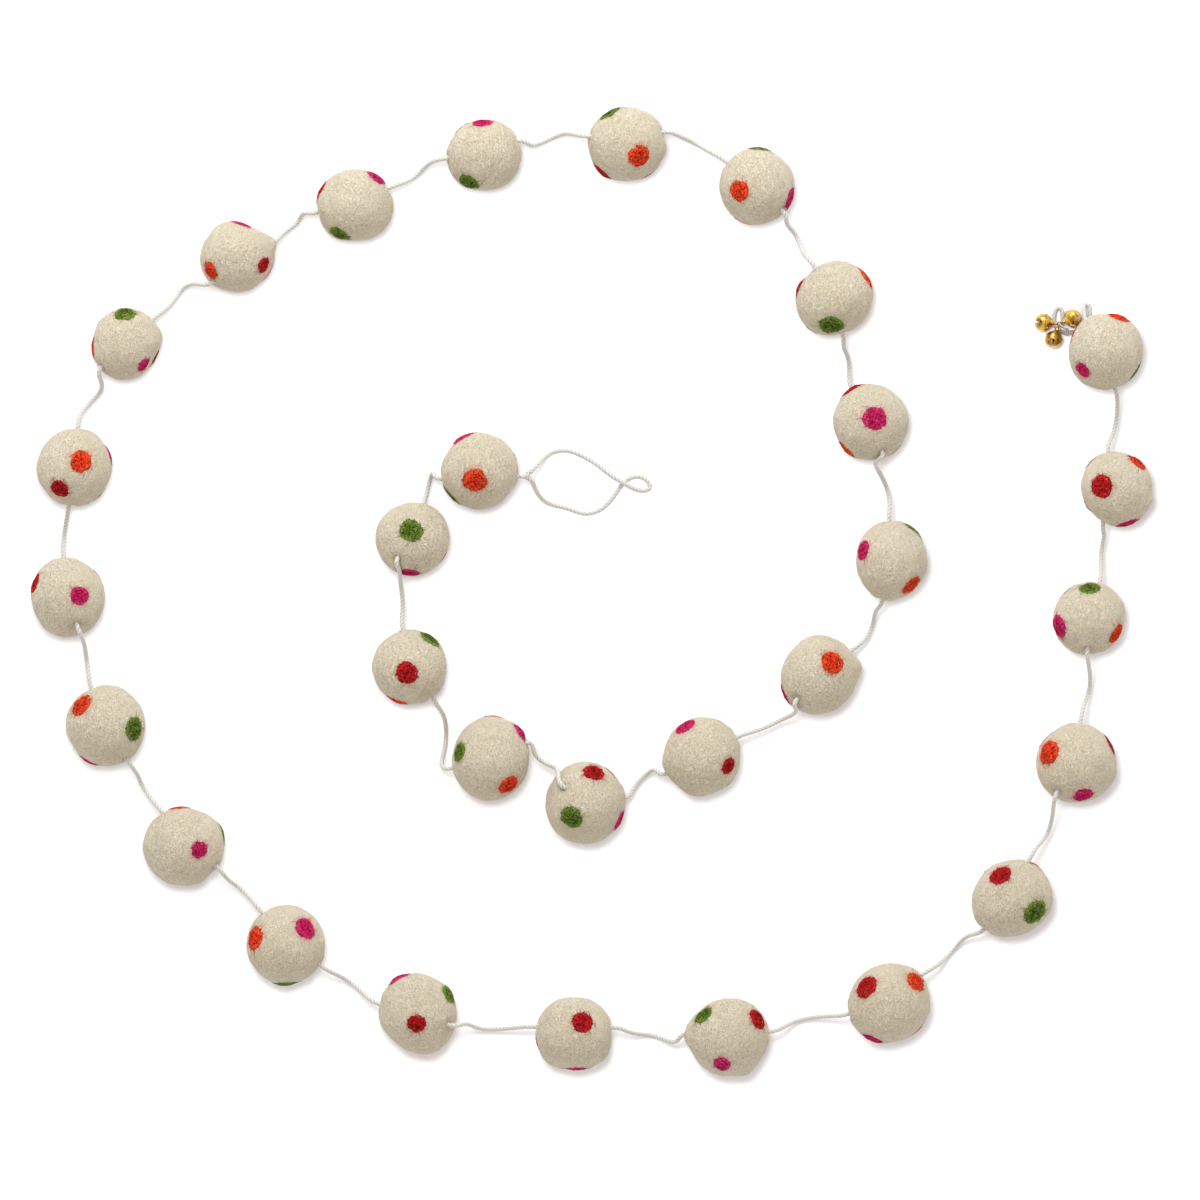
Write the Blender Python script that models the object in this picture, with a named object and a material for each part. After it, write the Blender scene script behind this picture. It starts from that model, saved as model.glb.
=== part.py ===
"""Felt ball garland laid out in a spiral: thirty hand-felted wool balls on one twisted cord, with a
hanging loop at the inner end and three small jingle bells tied to the outer end.

Metres, +Z up, lying on the plane z = 0. The origin is below the middle of the garland's outline.
"""

import math

import bmesh
import bpy
import numpy as np
from mathutils import Matrix, Vector

MM = 0.001

# Felt balls
FLAT_RADIUS = 4.5 * MM  # small flat spot that each ball rests on
HEIGHT_SHARE = 0.98  # a resting ball is a little lower than it is wide
BALL_SIDES = 12
BALL_BANDS = 6
RIM_SIDES = 6

# Cord, bore and knots
CORD_RADIUS = 1.1 * MM
GAP = 0.3 * MM
BORE_RADIUS = 1.65 * MM  # room for the cord's corners and the gap
RUN_OUT = 2.6 * MM  # the cord leaves a ball straight for this far
LEAST_BEND = 4.0 * MM  # radius of the cord's tightest sag between two balls
CORD_STEP = 5.4 * MM  # between the points of the finished tube
LOOP_STEP = 4.0 * MM  # closer in the hanging loop
TURN_STEP = 1.8 * MM  # and in the small turns at the bells
TABLE = CORD_RADIUS + 0.15 * MM  # height of the cord's middle where it lies on the surface
KNOT_RADIUS = 2.2 * MM
KNOT_HEIGHT_SHARE = 0.9

# Jingle bells
BELL_RADIUS = 4.7 * MM
BELL_WALL = 0.5 * MM
BELL_DROP = 8.2 * MM  # from the middle of the eye to the middle of the bell
EYE_MIDDLE = 1.05 * MM  # radius of the ring that forms the eye
EYE_WIRE = 0.3 * MM
NECK_TOP = 0.42 * MM
NECK_FOOT = 1.5 * MM
SLOT_WIDTH = 0.9 * MM
SLOT_START = 0.6 * MM  # each slot runs from this far below the middle, round the foot, to the same level
THREAD_RADIUS = 0.25 * MM
BELL_SIDES = 12

# One row per ball from the loop end, in millimetres and degrees. "turn" is the direction of the long
# width; "in" is the hole towards the loop and "out" the hole towards the bells, each by its compass
# bearing seen from above (0 along +X, anticlockwise) and its lift above the ball's middle.
BALL_COLUMNS = ("x", "y", "long", "short", "turn", "in_bearing", "in_lift", "out_bearing", "out_lift")
BALLS = (
    (-55.5, 60.5, 39.0, 38.0, 0, -7, 4, 192, 0),
    (-89.0, 26.5, 37.5, 36.5, 0, 74, -20, 232, 47),
    (-90.5, -37.5, 37.5, 37.5, 0, 101, 0, 306, 0),
    (-50.0, -83.0, 42.5, 38.5, 75, 195, 0, 23, 5),
    (-3.0, -105.5, 41.5, 39.5, 61, 143, 50, 6, -18),
    (55.5, -82.0, 40.0, 38.0, 46, 207, 0, 28, 0),
    (114.0, -41.5, 41.5, 37.5, 49, 227, 33, 37, -12),
    (150.0, 16.0, 39.5, 36.0, 85, 259, 0, 93, 0),
    (140.0, 85.0, 38.0, 38.0, 0, 291, 31, 120, -10),
    (121.5, 147.0, 39.0, 36.0, 31, 284, 0, 122, 18),
    (83.0, 203.0, 38.0, 38.0, 0, 316, 22, 141, 0),
    (18.0, 224.0, 38.5, 37.5, 0, 18, 0, 169, 12),
    (-53.5, 218.5, 36.5, 36.5, 0, 23, 0, 185, 8),
    (-118.0, 193.0, 38.0, 37.0, 0, 28, 0, 190, 0),
    (-177.0, 167.5, 37.0, 35.5, 0, 21, 0, 227, 18),
    (-232.5, 124.0, 36.5, 34.0, 71, 43, 0, 223, 21),
    (-258.0, 62.5, 39.0, 37.0, 77, 86, 0, 261, 0),
    (-261.5, -2.5, 39.5, 37.0, 104, 96, 0, 289, 39),
    (-242.5, -67.0, 40.0, 40.0, 0, 111, 0, 302, 14),
    (-203.5, -127.0, 40.5, 39.5, 0, 123, 0, 328, 18),
    (-152.5, -176.0, 39.5, 39.5, 0, 127, 0, 328, 10),
    (-86.5, -210.5, 41.0, 38.0, 122, 167, 0, 340, 31),
    (-8.5, -220.5, 39.0, 37.5, 0, 171, 0, 8, 0),
    (68.5, -222.5, 41.0, 39.0, 0, 175, 0, 7, 0),
    (149.0, -205.5, 41.5, 39.5, 33, 195, 0, 41, 0),
    (210.5, -153.0, 41.0, 38.0, 31, 229, 0, 66, 5),
    (242.5, -85.5, 40.0, 40.0, 0, 236, 31, 84, 0),
    (249.0, -13.0, 37.0, 35.5, 36, 266, 32, 73, 0),
    (263.0, 51.5, 38.0, 35.0, 112, 248, 0, 104, 0),
    (257.5, 120.5, 38.0, 37.5, 90, 284, 0, 124, -34),
)

# Where the cord bends between one ball and the next, seen from above in millimetres.
BENDS = (
    ((-79, 61), (-81, 55)),
    ((-96, 12), (-95.5, 6), (-94, -9)),
    ((-74, -61), (-72.5, -72)),
    ((-29, -81), (-22, -86), (-17, -88)),
    ((21, -98), (27, -92), (33, -88.5)),
    ((81, -70), (95, -64), (102.5, -57.5)),
    ((135, -26), (141, -17), (144, -7)),
    ((149.5, 43), (146.5, 56), (142.5, 63), (143, 69)),
    ((129.5, 113), (128, 119.5), (125.5, 125)),
    ((106.5, 168.5), (103, 178), (97, 187)),
    ((61, 219.5), (53.5, 224), (41, 229.5)),
    ((-7, 228.5), (-14.5, 229.5), (-21.5, 226.5), (-33.5, 225)),
    ((-78, 216), (-88.5, 207.5), (-95.5, 204)),
    ((-140, 189), (-145, 190), (-146, 185), (-154, 180)),
    ((-195, 154), (-204.5, 152), (-211, 143)),
    ((-244.5, 105), (-245, 100.5), (-252, 93.5), (-256.5, 85)),
    ((-262, 38), (-263.5, 29), (-264, 23)),
    ((-254.5, -22), (-252, -36), (-251, -43)),
    ((-228, -89), (-224.5, -97), (-219.5, -104)),
    ((-182.5, -143), (-177, -147), (-171.5, -152)),
    ((-128, -191), (-121, -195), (-114.5, -200)),
    ((-67, -216.5), (-53, -219), (-37.5, -218)),
    ((16, -219), (31, -222), (45, -223)),
    ((95.5, -218), (103.5, -214.5), (120.5, -212)),
    ((170.5, -188.5), (181, -180), (190.5, -171)),
    ((221, -130), (228, -122), (231, -110)),
    ((245.5, -60), (249.5, -49), (248.5, -35)),
    ((255, 12.5), (255.5, 23), (256, 32)),
    ((261, 78), (263.5, 92), (263, 98)),
)

# The hanging loop, from the knot round to ball 1: across, along and height in millimetres.
LOOP_ROUTE = (
    (-28.0, 62.4, 18.6),
    (-25.6, 65.4, 14.0),
    (-22.3, 68.4, 6.8),
    (-18.0, 70.5, 1.8),
    (-12.5, 71.0, 1.0),
    (-4.0, 68.0, 1.0),
    (3.5, 63.5, 1.7),
    (10.0, 58.5, 3.2),
    (15.8, 55.0, 3.9),
    (21.0, 52.0, 2.8),
    (26.0, 50.8, 1.3),
    (29.8, 52.0, 1.0),
    (28.0, 56.0, 1.0),
    (24.0, 58.0, 1.0),
    (19.5, 57.2, 1.0),
    (15.3, 53.5, 1.0),
    (11.0, 47.5, 1.0),
    (5.0, 41.5, 1.0),
    (-2.0, 39.3, 1.0),
    (-12.0, 42.0, 1.2),
    (-22.0, 44.8, 4.0),
    (-26.5, 48.5, 9.5),
    (-29.0, 53.0, 15.0),
)
LOOP_KNOT_OUT = 4.6 * MM  # from ball 1's hole to the middle of the knot beside it

# From ball 30 through the two hairpin loops: across, along and height in millimetres.
TAIL_ROUTE = (
    (247.1, 138.9, 4.2),
    (246.7, 142.0, 2.0),
    (247.2, 143.9, 1.2),
    (248.3, 144.6, 1.0),
    (249.4, 143.9, 1.0),
    (249.8, 141.5, 1.0),
    (249.9, 137.5, 1.0),
    (248.8, 133.6, 1.0),
    (245.4, 131.0, 1.2),
)
KNOT_PLACE = (238.2, 130.2, 2.1)
HAIRPIN_ROUTE = (
    (233.5, 132.2, 1.3),
    (231.9, 135.0, 1.0),
    (232.1, 138.5, 1.0),
    (232.6, 141.2, 1.0),
    (234.3, 142.9, 1.0),
    (236.0, 141.2, 1.0),
    (236.2, 137.6, 1.0),
    (236.9, 134.6, 1.2),
)

# Bells: compass bearing from the tie, and height of the eye in millimetres. The eyes are stacked.
TIE_PLACE = (234.5, 134.2)
BELL_COLUMNS = ("bearing", "eye_height")
BELLS = ((250, 4.9), (174, 6.5), (23, 8.5))

FELT = ("cream wool felt", (0.66, 0.58, 0.44), 0.95, 0.0)
CORD = ("off-white twisted cord", (0.78, 0.76, 0.70), 0.8, 0.0)
GOLD = ("gold-coloured brass", (0.78, 0.50, 0.12), 0.25, 1.0)


def material(finish):
    name, colour, roughness, metallic = finish
    made = bpy.data.materials.get(name)
    if made:
        return made
    made = bpy.data.materials.new(name)
    made.use_nodes = True
    shader = made.node_tree.nodes["Principled BSDF"]
    shader.inputs["Base Color"].default_value = (*colour, 1.0)
    shader.inputs["Roughness"].default_value = roughness
    shader.inputs["Metallic"].default_value = metallic
    return made


def mesh_object(name, shape, finish):
    """Turns a bmesh into a smooth-shaded object, with its faces pointing out."""
    bmesh.ops.recalc_face_normals(shape, faces=shape.faces)
    mesh = bpy.data.meshes.new(name)
    shape.to_mesh(mesh)
    shape.free()
    mesh.shade_smooth()
    mesh.set_sharp_from_angle(angle=math.radians(40))
    made = bpy.data.objects.new(name, mesh)
    bpy.context.scene.collection.objects.link(made)
    made.data.materials.append(material(finish))
    return made


def helper(made):
    made.hide_render = True
    made.display_type = "WIRE"
    return made


def boolean(target, other, operation):
    cut = target.modifiers.new(other.name, "BOOLEAN")
    cut.object = other
    cut.operation = operation
    cut.solver = "EXACT"


def turned(name, profile, sides, finish):
    """A closed turned shape about Z: profile holds (radius, height) from one end to the other, and an
    end whose radius is above zero is closed with a flat face."""
    shape = bmesh.new()
    rings = []
    for radius, height in profile:
        if radius == 0:
            rings.append([shape.verts.new((0, 0, height))])
            continue
        angles = (2 * math.pi * side / sides for side in range(sides))
        rings.append([shape.verts.new((radius * math.cos(a), radius * math.sin(a), height)) for a in angles])
    for low, high in zip(rings, rings[1:]):
        for side in range(sides):
            after = (side + 1) % sides
            corners = [low[side % len(low)], low[after % len(low)], high[after % len(high)], high[side % len(high)]]
            shape.faces.new(list(dict.fromkeys(corners)))
    for end in (rings[0], rings[-1]):
        if len(end) > 1:
            shape.faces.new(end)
    return mesh_object(name, shape, finish)


def rod(name, start, end, radius, sides, finish, end_radius=None):
    """A straight round rod or taper from start to end."""
    along = Vector(end) - Vector(start)
    end_radius = radius if end_radius is None else end_radius
    made = turned(name, ((radius, 0), (end_radius, along.length)), sides, finish)
    place = Matrix.Translation(start) @ along.to_track_quat("Z", "Y").to_matrix().to_4x4()
    made.data.transform(place)
    return made


def direction(bearing, lift=0.0):
    flat = math.cos(math.radians(lift))
    across = flat * math.cos(math.radians(bearing))
    return np.array((across, flat * math.sin(math.radians(bearing)), math.sin(math.radians(lift))))


class Ball:
    """The sizes of one ball, worked out from its row."""

    def __init__(self, number, row):
        size = dict(zip(BALL_COLUMNS, row))
        self.name = f"ball_{number:02d}"
        self.turn = math.radians(size["turn"])
        mean = (size["long"] + size["short"]) / 2
        self.half = np.array((size["long"], size["short"], mean * HEIGHT_SHARE)) * MM / 2
        flat_share = FLAT_RADIUS / self.half[:2].mean()
        self.flat_lift = -math.acos(flat_share)
        self.middle = np.array((size["x"] * MM, size["y"] * MM, -self.half[2] * math.sin(self.flat_lift)))
        self.mouth_in = self.on_skin(direction(size["in_bearing"], size["in_lift"]))
        self.mouth_out = self.on_skin(direction(size["out_bearing"], size["out_lift"]))
        along = self.mouth_out - self.mouth_in
        self.axis = along / np.linalg.norm(along)
        self.clear_in = self.mouth_in - RUN_OUT * self.axis
        self.clear_out = self.mouth_out + RUN_OUT * self.axis

    def own_axes(self, vectors):
        """World directions in the ball's own axes, long width first."""
        c, s = math.cos(self.turn), math.sin(self.turn)
        return np.stack((c * vectors[..., 0] + s * vectors[..., 1],
                         c * vectors[..., 1] - s * vectors[..., 0], vectors[..., 2]), -1)

    def on_skin(self, way):
        """The point where a ray from the middle leaves the ball."""
        return self.middle + way / np.linalg.norm(self.own_axes(way) / self.half)

    def pushed_out(self, points, room):
        """Moves points that come nearer to the ball than room straight out to that distance."""
        out = points - self.middle
        depth = np.linalg.norm(self.own_axes(out) / (self.half + room), axis=1)
        return self.middle + out / np.minimum(depth, 1.0)[:, None]

    def build(self):
        lifts = np.linspace(self.flat_lift, math.pi / 2, BALL_BANDS + 1)
        profile = [(math.cos(lift), math.sin(lift)) for lift in lifts[:-1]] + [(0, 1)]
        made = turned(self.name, profile, BALL_SIDES, FELT)
        stretch = Matrix.Diagonal((*self.half, 1))
        made.data.transform(Matrix.Translation(self.middle) @ Matrix.Rotation(self.turn, 4, "Z") @ stretch)
        bore = rod("bore_" + self.name, self.mouth_in - 2 * RUN_OUT * self.axis,
                   self.mouth_out + 2 * RUN_OUT * self.axis, BORE_RADIUS, RIM_SIDES, FELT)
        boolean(made, helper(bore), "DIFFERENCE")


def smooth_curve(points, start_way, end_way, step):
    """Points about a step apart on a smooth curve (cubic Hermite) through all the given points,
    leaving along start_way and arriving along end_way."""
    points = np.asarray(points, float)
    spans = np.linalg.norm(np.diff(points, axis=0), axis=1)
    slopes = np.diff(points, axis=0) / spans[:, None]
    share = (spans[1:] / (spans[1:] + spans[:-1]))[:, None]
    ways = np.vstack((start_way, share * slopes[:-1] + (1 - share) * slopes[1:], end_way))
    pieces = []
    for first, last, way, next_way, span in zip(points, points[1:], ways, ways[1:], spans):
        t = np.arange(0, 1, 1 / max(1, round(span / step)))[:, None]
        pieces.append((2 * t**3 - 3 * t**2 + 1) * first + (3 * t**2 - 2 * t**3) * last
                      + ((t**3 - 2 * t**2 + t) * way + (t**3 - t**2) * next_way) * span)
    return np.vstack((*pieces, points[-1:]))


def spaced(points, step):
    """The same run with points an even step apart."""
    reach = np.concatenate(([0], np.cumsum(np.linalg.norm(np.diff(points, axis=0), axis=1))))
    wanted = np.linspace(0, reach[-1], int(reach[-1] / step) + 1)
    return np.stack([np.interp(wanted, reach, points[:, k]) for k in range(3)], 1)


def run_between(ball, after, bends):
    """The free cord from one ball to the next. It follows the bends in plan, and sags in one soft wave
    until it lies on the surface or reaches its tightest bend."""
    flat = [(x * MM, y * MM, 0.0) for x, y in bends]
    route = np.array([ball.clear_out, *flat, after.clear_in])
    reach = np.concatenate(([0], np.cumsum(np.linalg.norm(np.diff(route[:, :2], axis=0), axis=1))))
    share = reach / reach[-1]
    level = route[0, 2] + (route[-1, 2] - route[0, 2]) * share
    sag = min(level.mean() - TABLE, reach[-1] ** 2 / (2 * math.pi**2 * LEAST_BEND))
    route[:, 2] = np.maximum(level - sag * np.sin(math.pi * share) ** 2, TABLE)
    fine = smooth_curve(route, ball.axis, after.axis, CORD_STEP / 8)
    for _ in range(6):
        for near in (ball, after):
            fine[1:-1] = near.pushed_out(fine[1:-1], CORD_RADIUS + 2 * GAP)
        fine[1:-1] = (fine[:-2] + 2 * fine[1:-1] + fine[2:]) / 4
        fine[:, 2] = np.maximum(fine[:, 2], TABLE)
    return spaced(fine, CORD_STEP)


def metres(route):
    return [np.array(point) * MM for point in route]


def cord_points(balls):
    """The whole cord from the loop's knot to its end at the bells."""
    first, last = balls[0], balls[-1]
    knot = first.mouth_in - LOOP_KNOT_OUT * first.axis
    way = direction(52)
    start = knot + (KNOT_RADIUS + 2 * GAP) * way
    past_knot = knot - (LOOP_KNOT_OUT - RUN_OUT + KNOT_RADIUS) * first.axis
    loop = smooth_curve([start, *metres(LOOP_ROUTE), past_knot], way, first.axis, LOOP_STEP)
    runs = [loop]
    for ball, after, bends in zip(balls, balls[1:], BENDS):
        runs.append(run_between(ball, after, bends))
    knot_way = direction(176, -4)
    into = np.array(KNOT_PLACE) * MM - (KNOT_RADIUS + 2 * GAP) * knot_way
    out_of = np.array(KNOT_PLACE) * MM + (KNOT_RADIUS + 2 * GAP) * knot_way
    runs.append(smooth_curve([last.clear_out, *metres(TAIL_ROUTE), into], last.axis, knot_way, TURN_STEP))
    end_way = direction(280)
    runs.append(smooth_curve([out_of, *metres(HAIRPIN_ROUTE)], knot_way, end_way, TURN_STEP))
    points = np.vstack(runs)
    points[:, 2] = np.maximum(points[:, 2], TABLE)
    return points, knot, knot_way


def tube(name, points, radius, resolution, finish):
    """A round tube on a run of points, closed at both ends."""
    curve = bpy.data.curves.new(name, "CURVE")
    curve.dimensions = "3D"
    curve.bevel_depth = radius
    curve.bevel_resolution = resolution
    curve.use_fill_caps = True
    spline = curve.splines.new("POLY")
    spline.points.add(len(points) - 1)
    spline.points.foreach_set("co", np.column_stack((points, np.ones(len(points)))).ravel())
    made = bpy.data.objects.new(name, curve)
    bpy.context.scene.collection.objects.link(made)
    made.data.materials.append(material(finish))
    return made


def build_knot(name, place, way):
    """A small round knot, bored for the cord that passes through it."""
    lifts = np.linspace(-math.pi / 2, math.pi / 2, 7)
    profile = [(KNOT_RADIUS * max(0.0, math.cos(a)) if abs(a) < 1.5 else 0, KNOT_RADIUS * math.sin(a)) for a in lifts]
    made = turned(name, profile, 10, CORD)
    made.data.transform(Matrix.Translation(place) @ Matrix.Diagonal((1, 1, KNOT_HEIGHT_SHARE, 1)))
    way = np.array(way)
    bore = rod("bore_" + name, place - 2 * KNOT_RADIUS * way, place + 2 * KNOT_RADIUS * way,
               BORE_RADIUS, RIM_SIDES, CORD)
    boolean(made, helper(bore), "DIFFERENCE")


def build_bell(name, bearing, eye_height):
    """A hollow bell with two crossed slots in its foot, and an eye on a tapered neck. Its axis runs
    from the eye down to the bell's middle, which lies one radius above the surface."""
    eye = np.array((TIE_PLACE[0] * MM, TIE_PLACE[1] * MM, eye_height * MM))
    dip = -math.degrees(math.asin((eye[2] - BELL_RADIUS - 0.1 * MM) / BELL_DROP))
    way = direction(bearing, dip)
    middle = eye + BELL_DROP * way
    outer = [(BELL_RADIUS * math.sin(a), -BELL_RADIUS * math.cos(a)) for a in np.linspace(0, math.pi, 8)]
    outer[0] = (0, -BELL_RADIUS)
    outer[-1] = (0, BELL_RADIUS)
    inner = [(r * (1 - BELL_WALL / BELL_RADIUS), h * (1 - BELL_WALL / BELL_RADIUS)) for r, h in outer]
    place = Matrix.Translation(middle) @ Vector(way).to_track_quat("Z", "Y").to_matrix().to_4x4()
    made = turned(name, outer, BELL_SIDES, GOLD)
    made.data.transform(place)
    hollow = helper(turned("hollow_" + name, inner, BELL_SIDES, GOLD))
    hollow.data.transform(place)
    neck = helper(rod("neck_" + name, eye + (EYE_MIDDLE - 0.1 * MM) * way,
                      middle - (BELL_RADIUS - 0.25 * MM) * way, NECK_TOP, 8, GOLD, NECK_FOOT))
    bpy.ops.mesh.primitive_torus_add(major_radius=EYE_MIDDLE, minor_radius=EYE_WIRE, major_segments=12,
                                     minor_segments=6, location=eye)
    ring = helper(bpy.context.object)
    ring.name = "eye_" + name
    boolean(made, neck, "UNION")
    boolean(made, ring, "UNION")
    boolean(made, hollow, "DIFFERENCE")
    for turn in (0, 90):
        shape = bmesh.new()
        bmesh.ops.create_cube(shape, size=1)
        slot = helper(mesh_object(f"slot_{turn}_{name}", shape, GOLD))
        size = Matrix.Diagonal((3 * BELL_RADIUS, SLOT_WIDTH, 2 * BELL_RADIUS, 1))
        below = Matrix.Translation((0, 0, BELL_RADIUS + SLOT_START))
        slot.data.transform(place @ below @ Matrix.Rotation(math.radians(turn), 4, "Z") @ size)
        boolean(made, slot, "DIFFERENCE")


def tie_points():
    """The thread: from the knot under the stacked eyes, up through them and back over to the knot."""
    x, y = TIE_PLACE
    route = ((x + 2.0, y - 2.2, 4.6), (x + 0.6, y - 0.8, 3.5), (x, y, 4.6), (x, y, 8.6), (x + 0.1, y - 0.1, 9.7),
             (x + 0.9, y - 0.9, 10.4), (x + 2.2, y - 2.1, 9.0), (x + 3.0, y - 2.8, 5.6))
    down = np.array((0.3, -0.3, -0.9))
    return smooth_curve(metres(route), np.array((-0.6, 0.6, -0.5)), down, 1.2 * MM)


def main():
    for old in list(bpy.data.objects):
        bpy.data.objects.remove(old, do_unlink=True)
    balls = [Ball(number, row) for number, row in enumerate(BALLS, 1)]
    for ball in balls:
        ball.build()
    points, loop_knot, knot_way = cord_points(balls)
    tube("cord", points, CORD_RADIUS, 2, CORD)
    build_knot("loop_knot", loop_knot, balls[0].axis)
    build_knot("end_knot", np.array(KNOT_PLACE) * MM, knot_way)
    tube("bell_tie", tie_points(), THREAD_RADIUS, 1, CORD)
    for number, row in enumerate(BELLS, 1):
        build_bell(f"bell_{number}", **dict(zip(BELL_COLUMNS, row)))


main()
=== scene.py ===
"""Felt ball garland: the looks. Thirty hand-felted wool balls with needle-felted dots lie in a spiral on
one twisted cord, with a hanging loop at the inner end and three small gold bells at the outer end."""

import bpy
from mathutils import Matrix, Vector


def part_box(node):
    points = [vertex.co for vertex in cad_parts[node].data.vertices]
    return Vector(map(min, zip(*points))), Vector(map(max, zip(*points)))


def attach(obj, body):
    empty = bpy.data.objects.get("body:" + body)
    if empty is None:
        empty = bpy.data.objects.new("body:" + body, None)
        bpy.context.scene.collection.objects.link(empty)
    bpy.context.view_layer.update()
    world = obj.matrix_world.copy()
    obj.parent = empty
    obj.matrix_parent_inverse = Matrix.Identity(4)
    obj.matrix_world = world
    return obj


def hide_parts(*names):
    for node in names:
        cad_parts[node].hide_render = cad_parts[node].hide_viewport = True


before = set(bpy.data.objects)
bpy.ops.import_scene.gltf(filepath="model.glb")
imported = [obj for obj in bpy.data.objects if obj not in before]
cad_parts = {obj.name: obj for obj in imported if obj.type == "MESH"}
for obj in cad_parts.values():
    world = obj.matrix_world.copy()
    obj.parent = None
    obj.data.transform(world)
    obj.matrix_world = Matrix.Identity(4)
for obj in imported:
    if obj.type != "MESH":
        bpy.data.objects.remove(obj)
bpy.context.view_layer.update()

import math

import bpy
import numpy as np
from mathutils import Vector

MM = 0.001
BODY = "root"

# ---------------------------------------------------------------- sizes shared with the construction
FLAT_RADIUS = 4.5 * MM  # of the flat spot on which a ball rests
HEIGHT_SHARE = 0.98  # a ball's height as a share of its mean width
CORD_RADIUS = 1.1 * MM
YARN_RADIUS = 1.2 * MM  # at the crests of the plies
GAP = 0.3 * MM  # between pieces
RUN_OUT = 2.6 * MM  # straight cord outside each hole
OUT_SHARE, ALONG_SHARE = 0.6, 0.4  # how much it leaves square to the felt, and how much along its bore
LEAST_BEND = 4.0 * MM
CORD_STEP = 5.4 * MM  # between the points that the route is worked out from
LOOP_STEP = 4.0 * MM  # closer in the hanging loop
TURN_STEP = 1.8 * MM  # and in the small turns at the bells
TABLE = CORD_RADIUS + 0.15 * MM
TIE_PLACE = (234.5 * MM, 134.2 * MM)
KNOT_RADIUS = 2.2 * MM
LOOP_KNOT_OUT = 4.6 * MM  # from the first ball's hole
LOOP_LEAVES, LOOP_RETURNS = 52, 132  # bearings of the loop's two ends at its knot
LOOP_SUNK = 0.6 * MM  # how deep its first end lies in the knot
END_KNOT_WAY = (176, -4)  # bearing and lift of the cord in the knot beside the bells
HAIRPIN_END = 280  # bearing of the cord's tip
TAIL_SPARE = 10 * MM  # cord before the tail that keeps its bends as the tail does

# One row per ball from the loop end: widths in millimetres, then directions in degrees. "turn" is the
# direction of the long width; "in" and "out" are the cord's holes, by bearing and lift.
BALL_COLUMNS = ("long", "short", "turn", "in_bearing", "in_lift", "out_bearing", "out_lift")
BALLS = (
    (39.0, 38.0, 0, -7, 4, 192, 0),
    (37.5, 36.5, 0, 74, -20, 232, 47),
    (37.5, 37.5, 0, 101, 0, 306, 0),
    (42.5, 38.5, 75, 195, 0, 23, 5),
    (41.5, 39.5, 61, 143, 50, 6, -18),
    (40.0, 38.0, 46, 207, 0, 28, 0),
    (41.5, 37.5, 49, 227, 33, 37, -12),
    (39.5, 36.0, 85, 259, 0, 93, 0),
    (38.0, 38.0, 0, 291, 31, 120, -10),
    (39.0, 36.0, 31, 284, 0, 122, 18),
    (38.0, 38.0, 0, 316, 22, 141, 0),
    (38.5, 37.5, 0, 18, 0, 169, 12),
    (36.5, 36.5, 0, 23, 0, 185, 8),
    (38.0, 37.0, 0, 28, 0, 190, 0),
    (37.0, 35.5, 0, 21, 0, 227, 18),
    (36.5, 34.0, 71, 43, 0, 223, 21),
    (39.0, 37.0, 77, 86, 0, 261, 0),
    (39.5, 37.0, 104, 96, 0, 289, 39),
    (40.0, 40.0, 0, 111, 0, 302, 14),
    (40.5, 39.5, 0, 123, 0, 328, 18),
    (39.5, 39.5, 0, 127, 0, 328, 10),
    (41.0, 38.0, 122, 167, 0, 340, 31),
    (39.0, 37.5, 0, 171, 0, 8, 0),
    (41.0, 39.0, 0, 175, 0, 7, 0),
    (41.5, 39.5, 33, 195, 0, 41, 0),
    (41.0, 38.0, 31, 229, 0, 66, 5),
    (40.0, 40.0, 0, 236, 31, 84, 0),
    (37.0, 35.5, 36, 266, 32, 73, 0),
    (38.0, 35.0, 112, 248, 0, 104, 0),
    (38.0, 37.5, 90, 284, 0, 124, -34),
)

# Where the cord bends between one ball and the next, seen from above in millimetres.
BENDS = (
    ((-79, 61), (-81, 55)),
    ((-96, 12), (-95.5, 6), (-94, -9)),
    ((-74, -61), (-72.5, -72)),
    ((-29, -81), (-22, -86), (-17, -88)),
    ((21, -98), (27, -92), (33, -88.5)),
    ((81, -70), (95, -64), (102.5, -57.5)),
    ((135, -26), (141, -17), (144, -7)),
    ((149.5, 43), (146.5, 56), (142.5, 63), (143, 69)),
    ((129.5, 113), (128, 119.5), (125.5, 125)),
    ((106.5, 168.5), (103, 178), (97, 187)),
    ((61, 219.5), (53.5, 224), (41, 229.5)),
    ((-7, 228.5), (-14.5, 229.5), (-21.5, 226.5), (-33.5, 225)),
    ((-78, 216), (-88.5, 207.5), (-95.5, 204)),
    ((-140, 189), (-145, 190), (-146, 185), (-154, 180)),
    ((-195, 154), (-204.5, 152), (-211, 143)),
    ((-244.5, 105), (-245, 100.5), (-252, 93.5), (-256.5, 85)),
    ((-262, 38), (-263.5, 29), (-264, 23)),
    ((-254.5, -22), (-252, -36), (-251, -43)),
    ((-228, -89), (-224.5, -97), (-219.5, -104)),
    ((-182.5, -143), (-177, -147), (-171.5, -152)),
    ((-128, -191), (-121, -195), (-114.5, -200)),
    ((-67, -216.5), (-53, -219), (-37.5, -218)),
    ((16, -219), (31, -222), (45, -223)),
    ((95.5, -218), (103.5, -214.5), (120.5, -212)),
    ((170.5, -188.5), (181, -180), (190.5, -171)),
    ((221, -130), (228, -122), (231, -110)),
    ((245.5, -60), (249.5, -49), (248.5, -35)),
    ((255, 12.5), (255.5, 23), (256, 32)),
    ((261, 78), (263.5, 92), (263, 98)),
)

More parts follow.
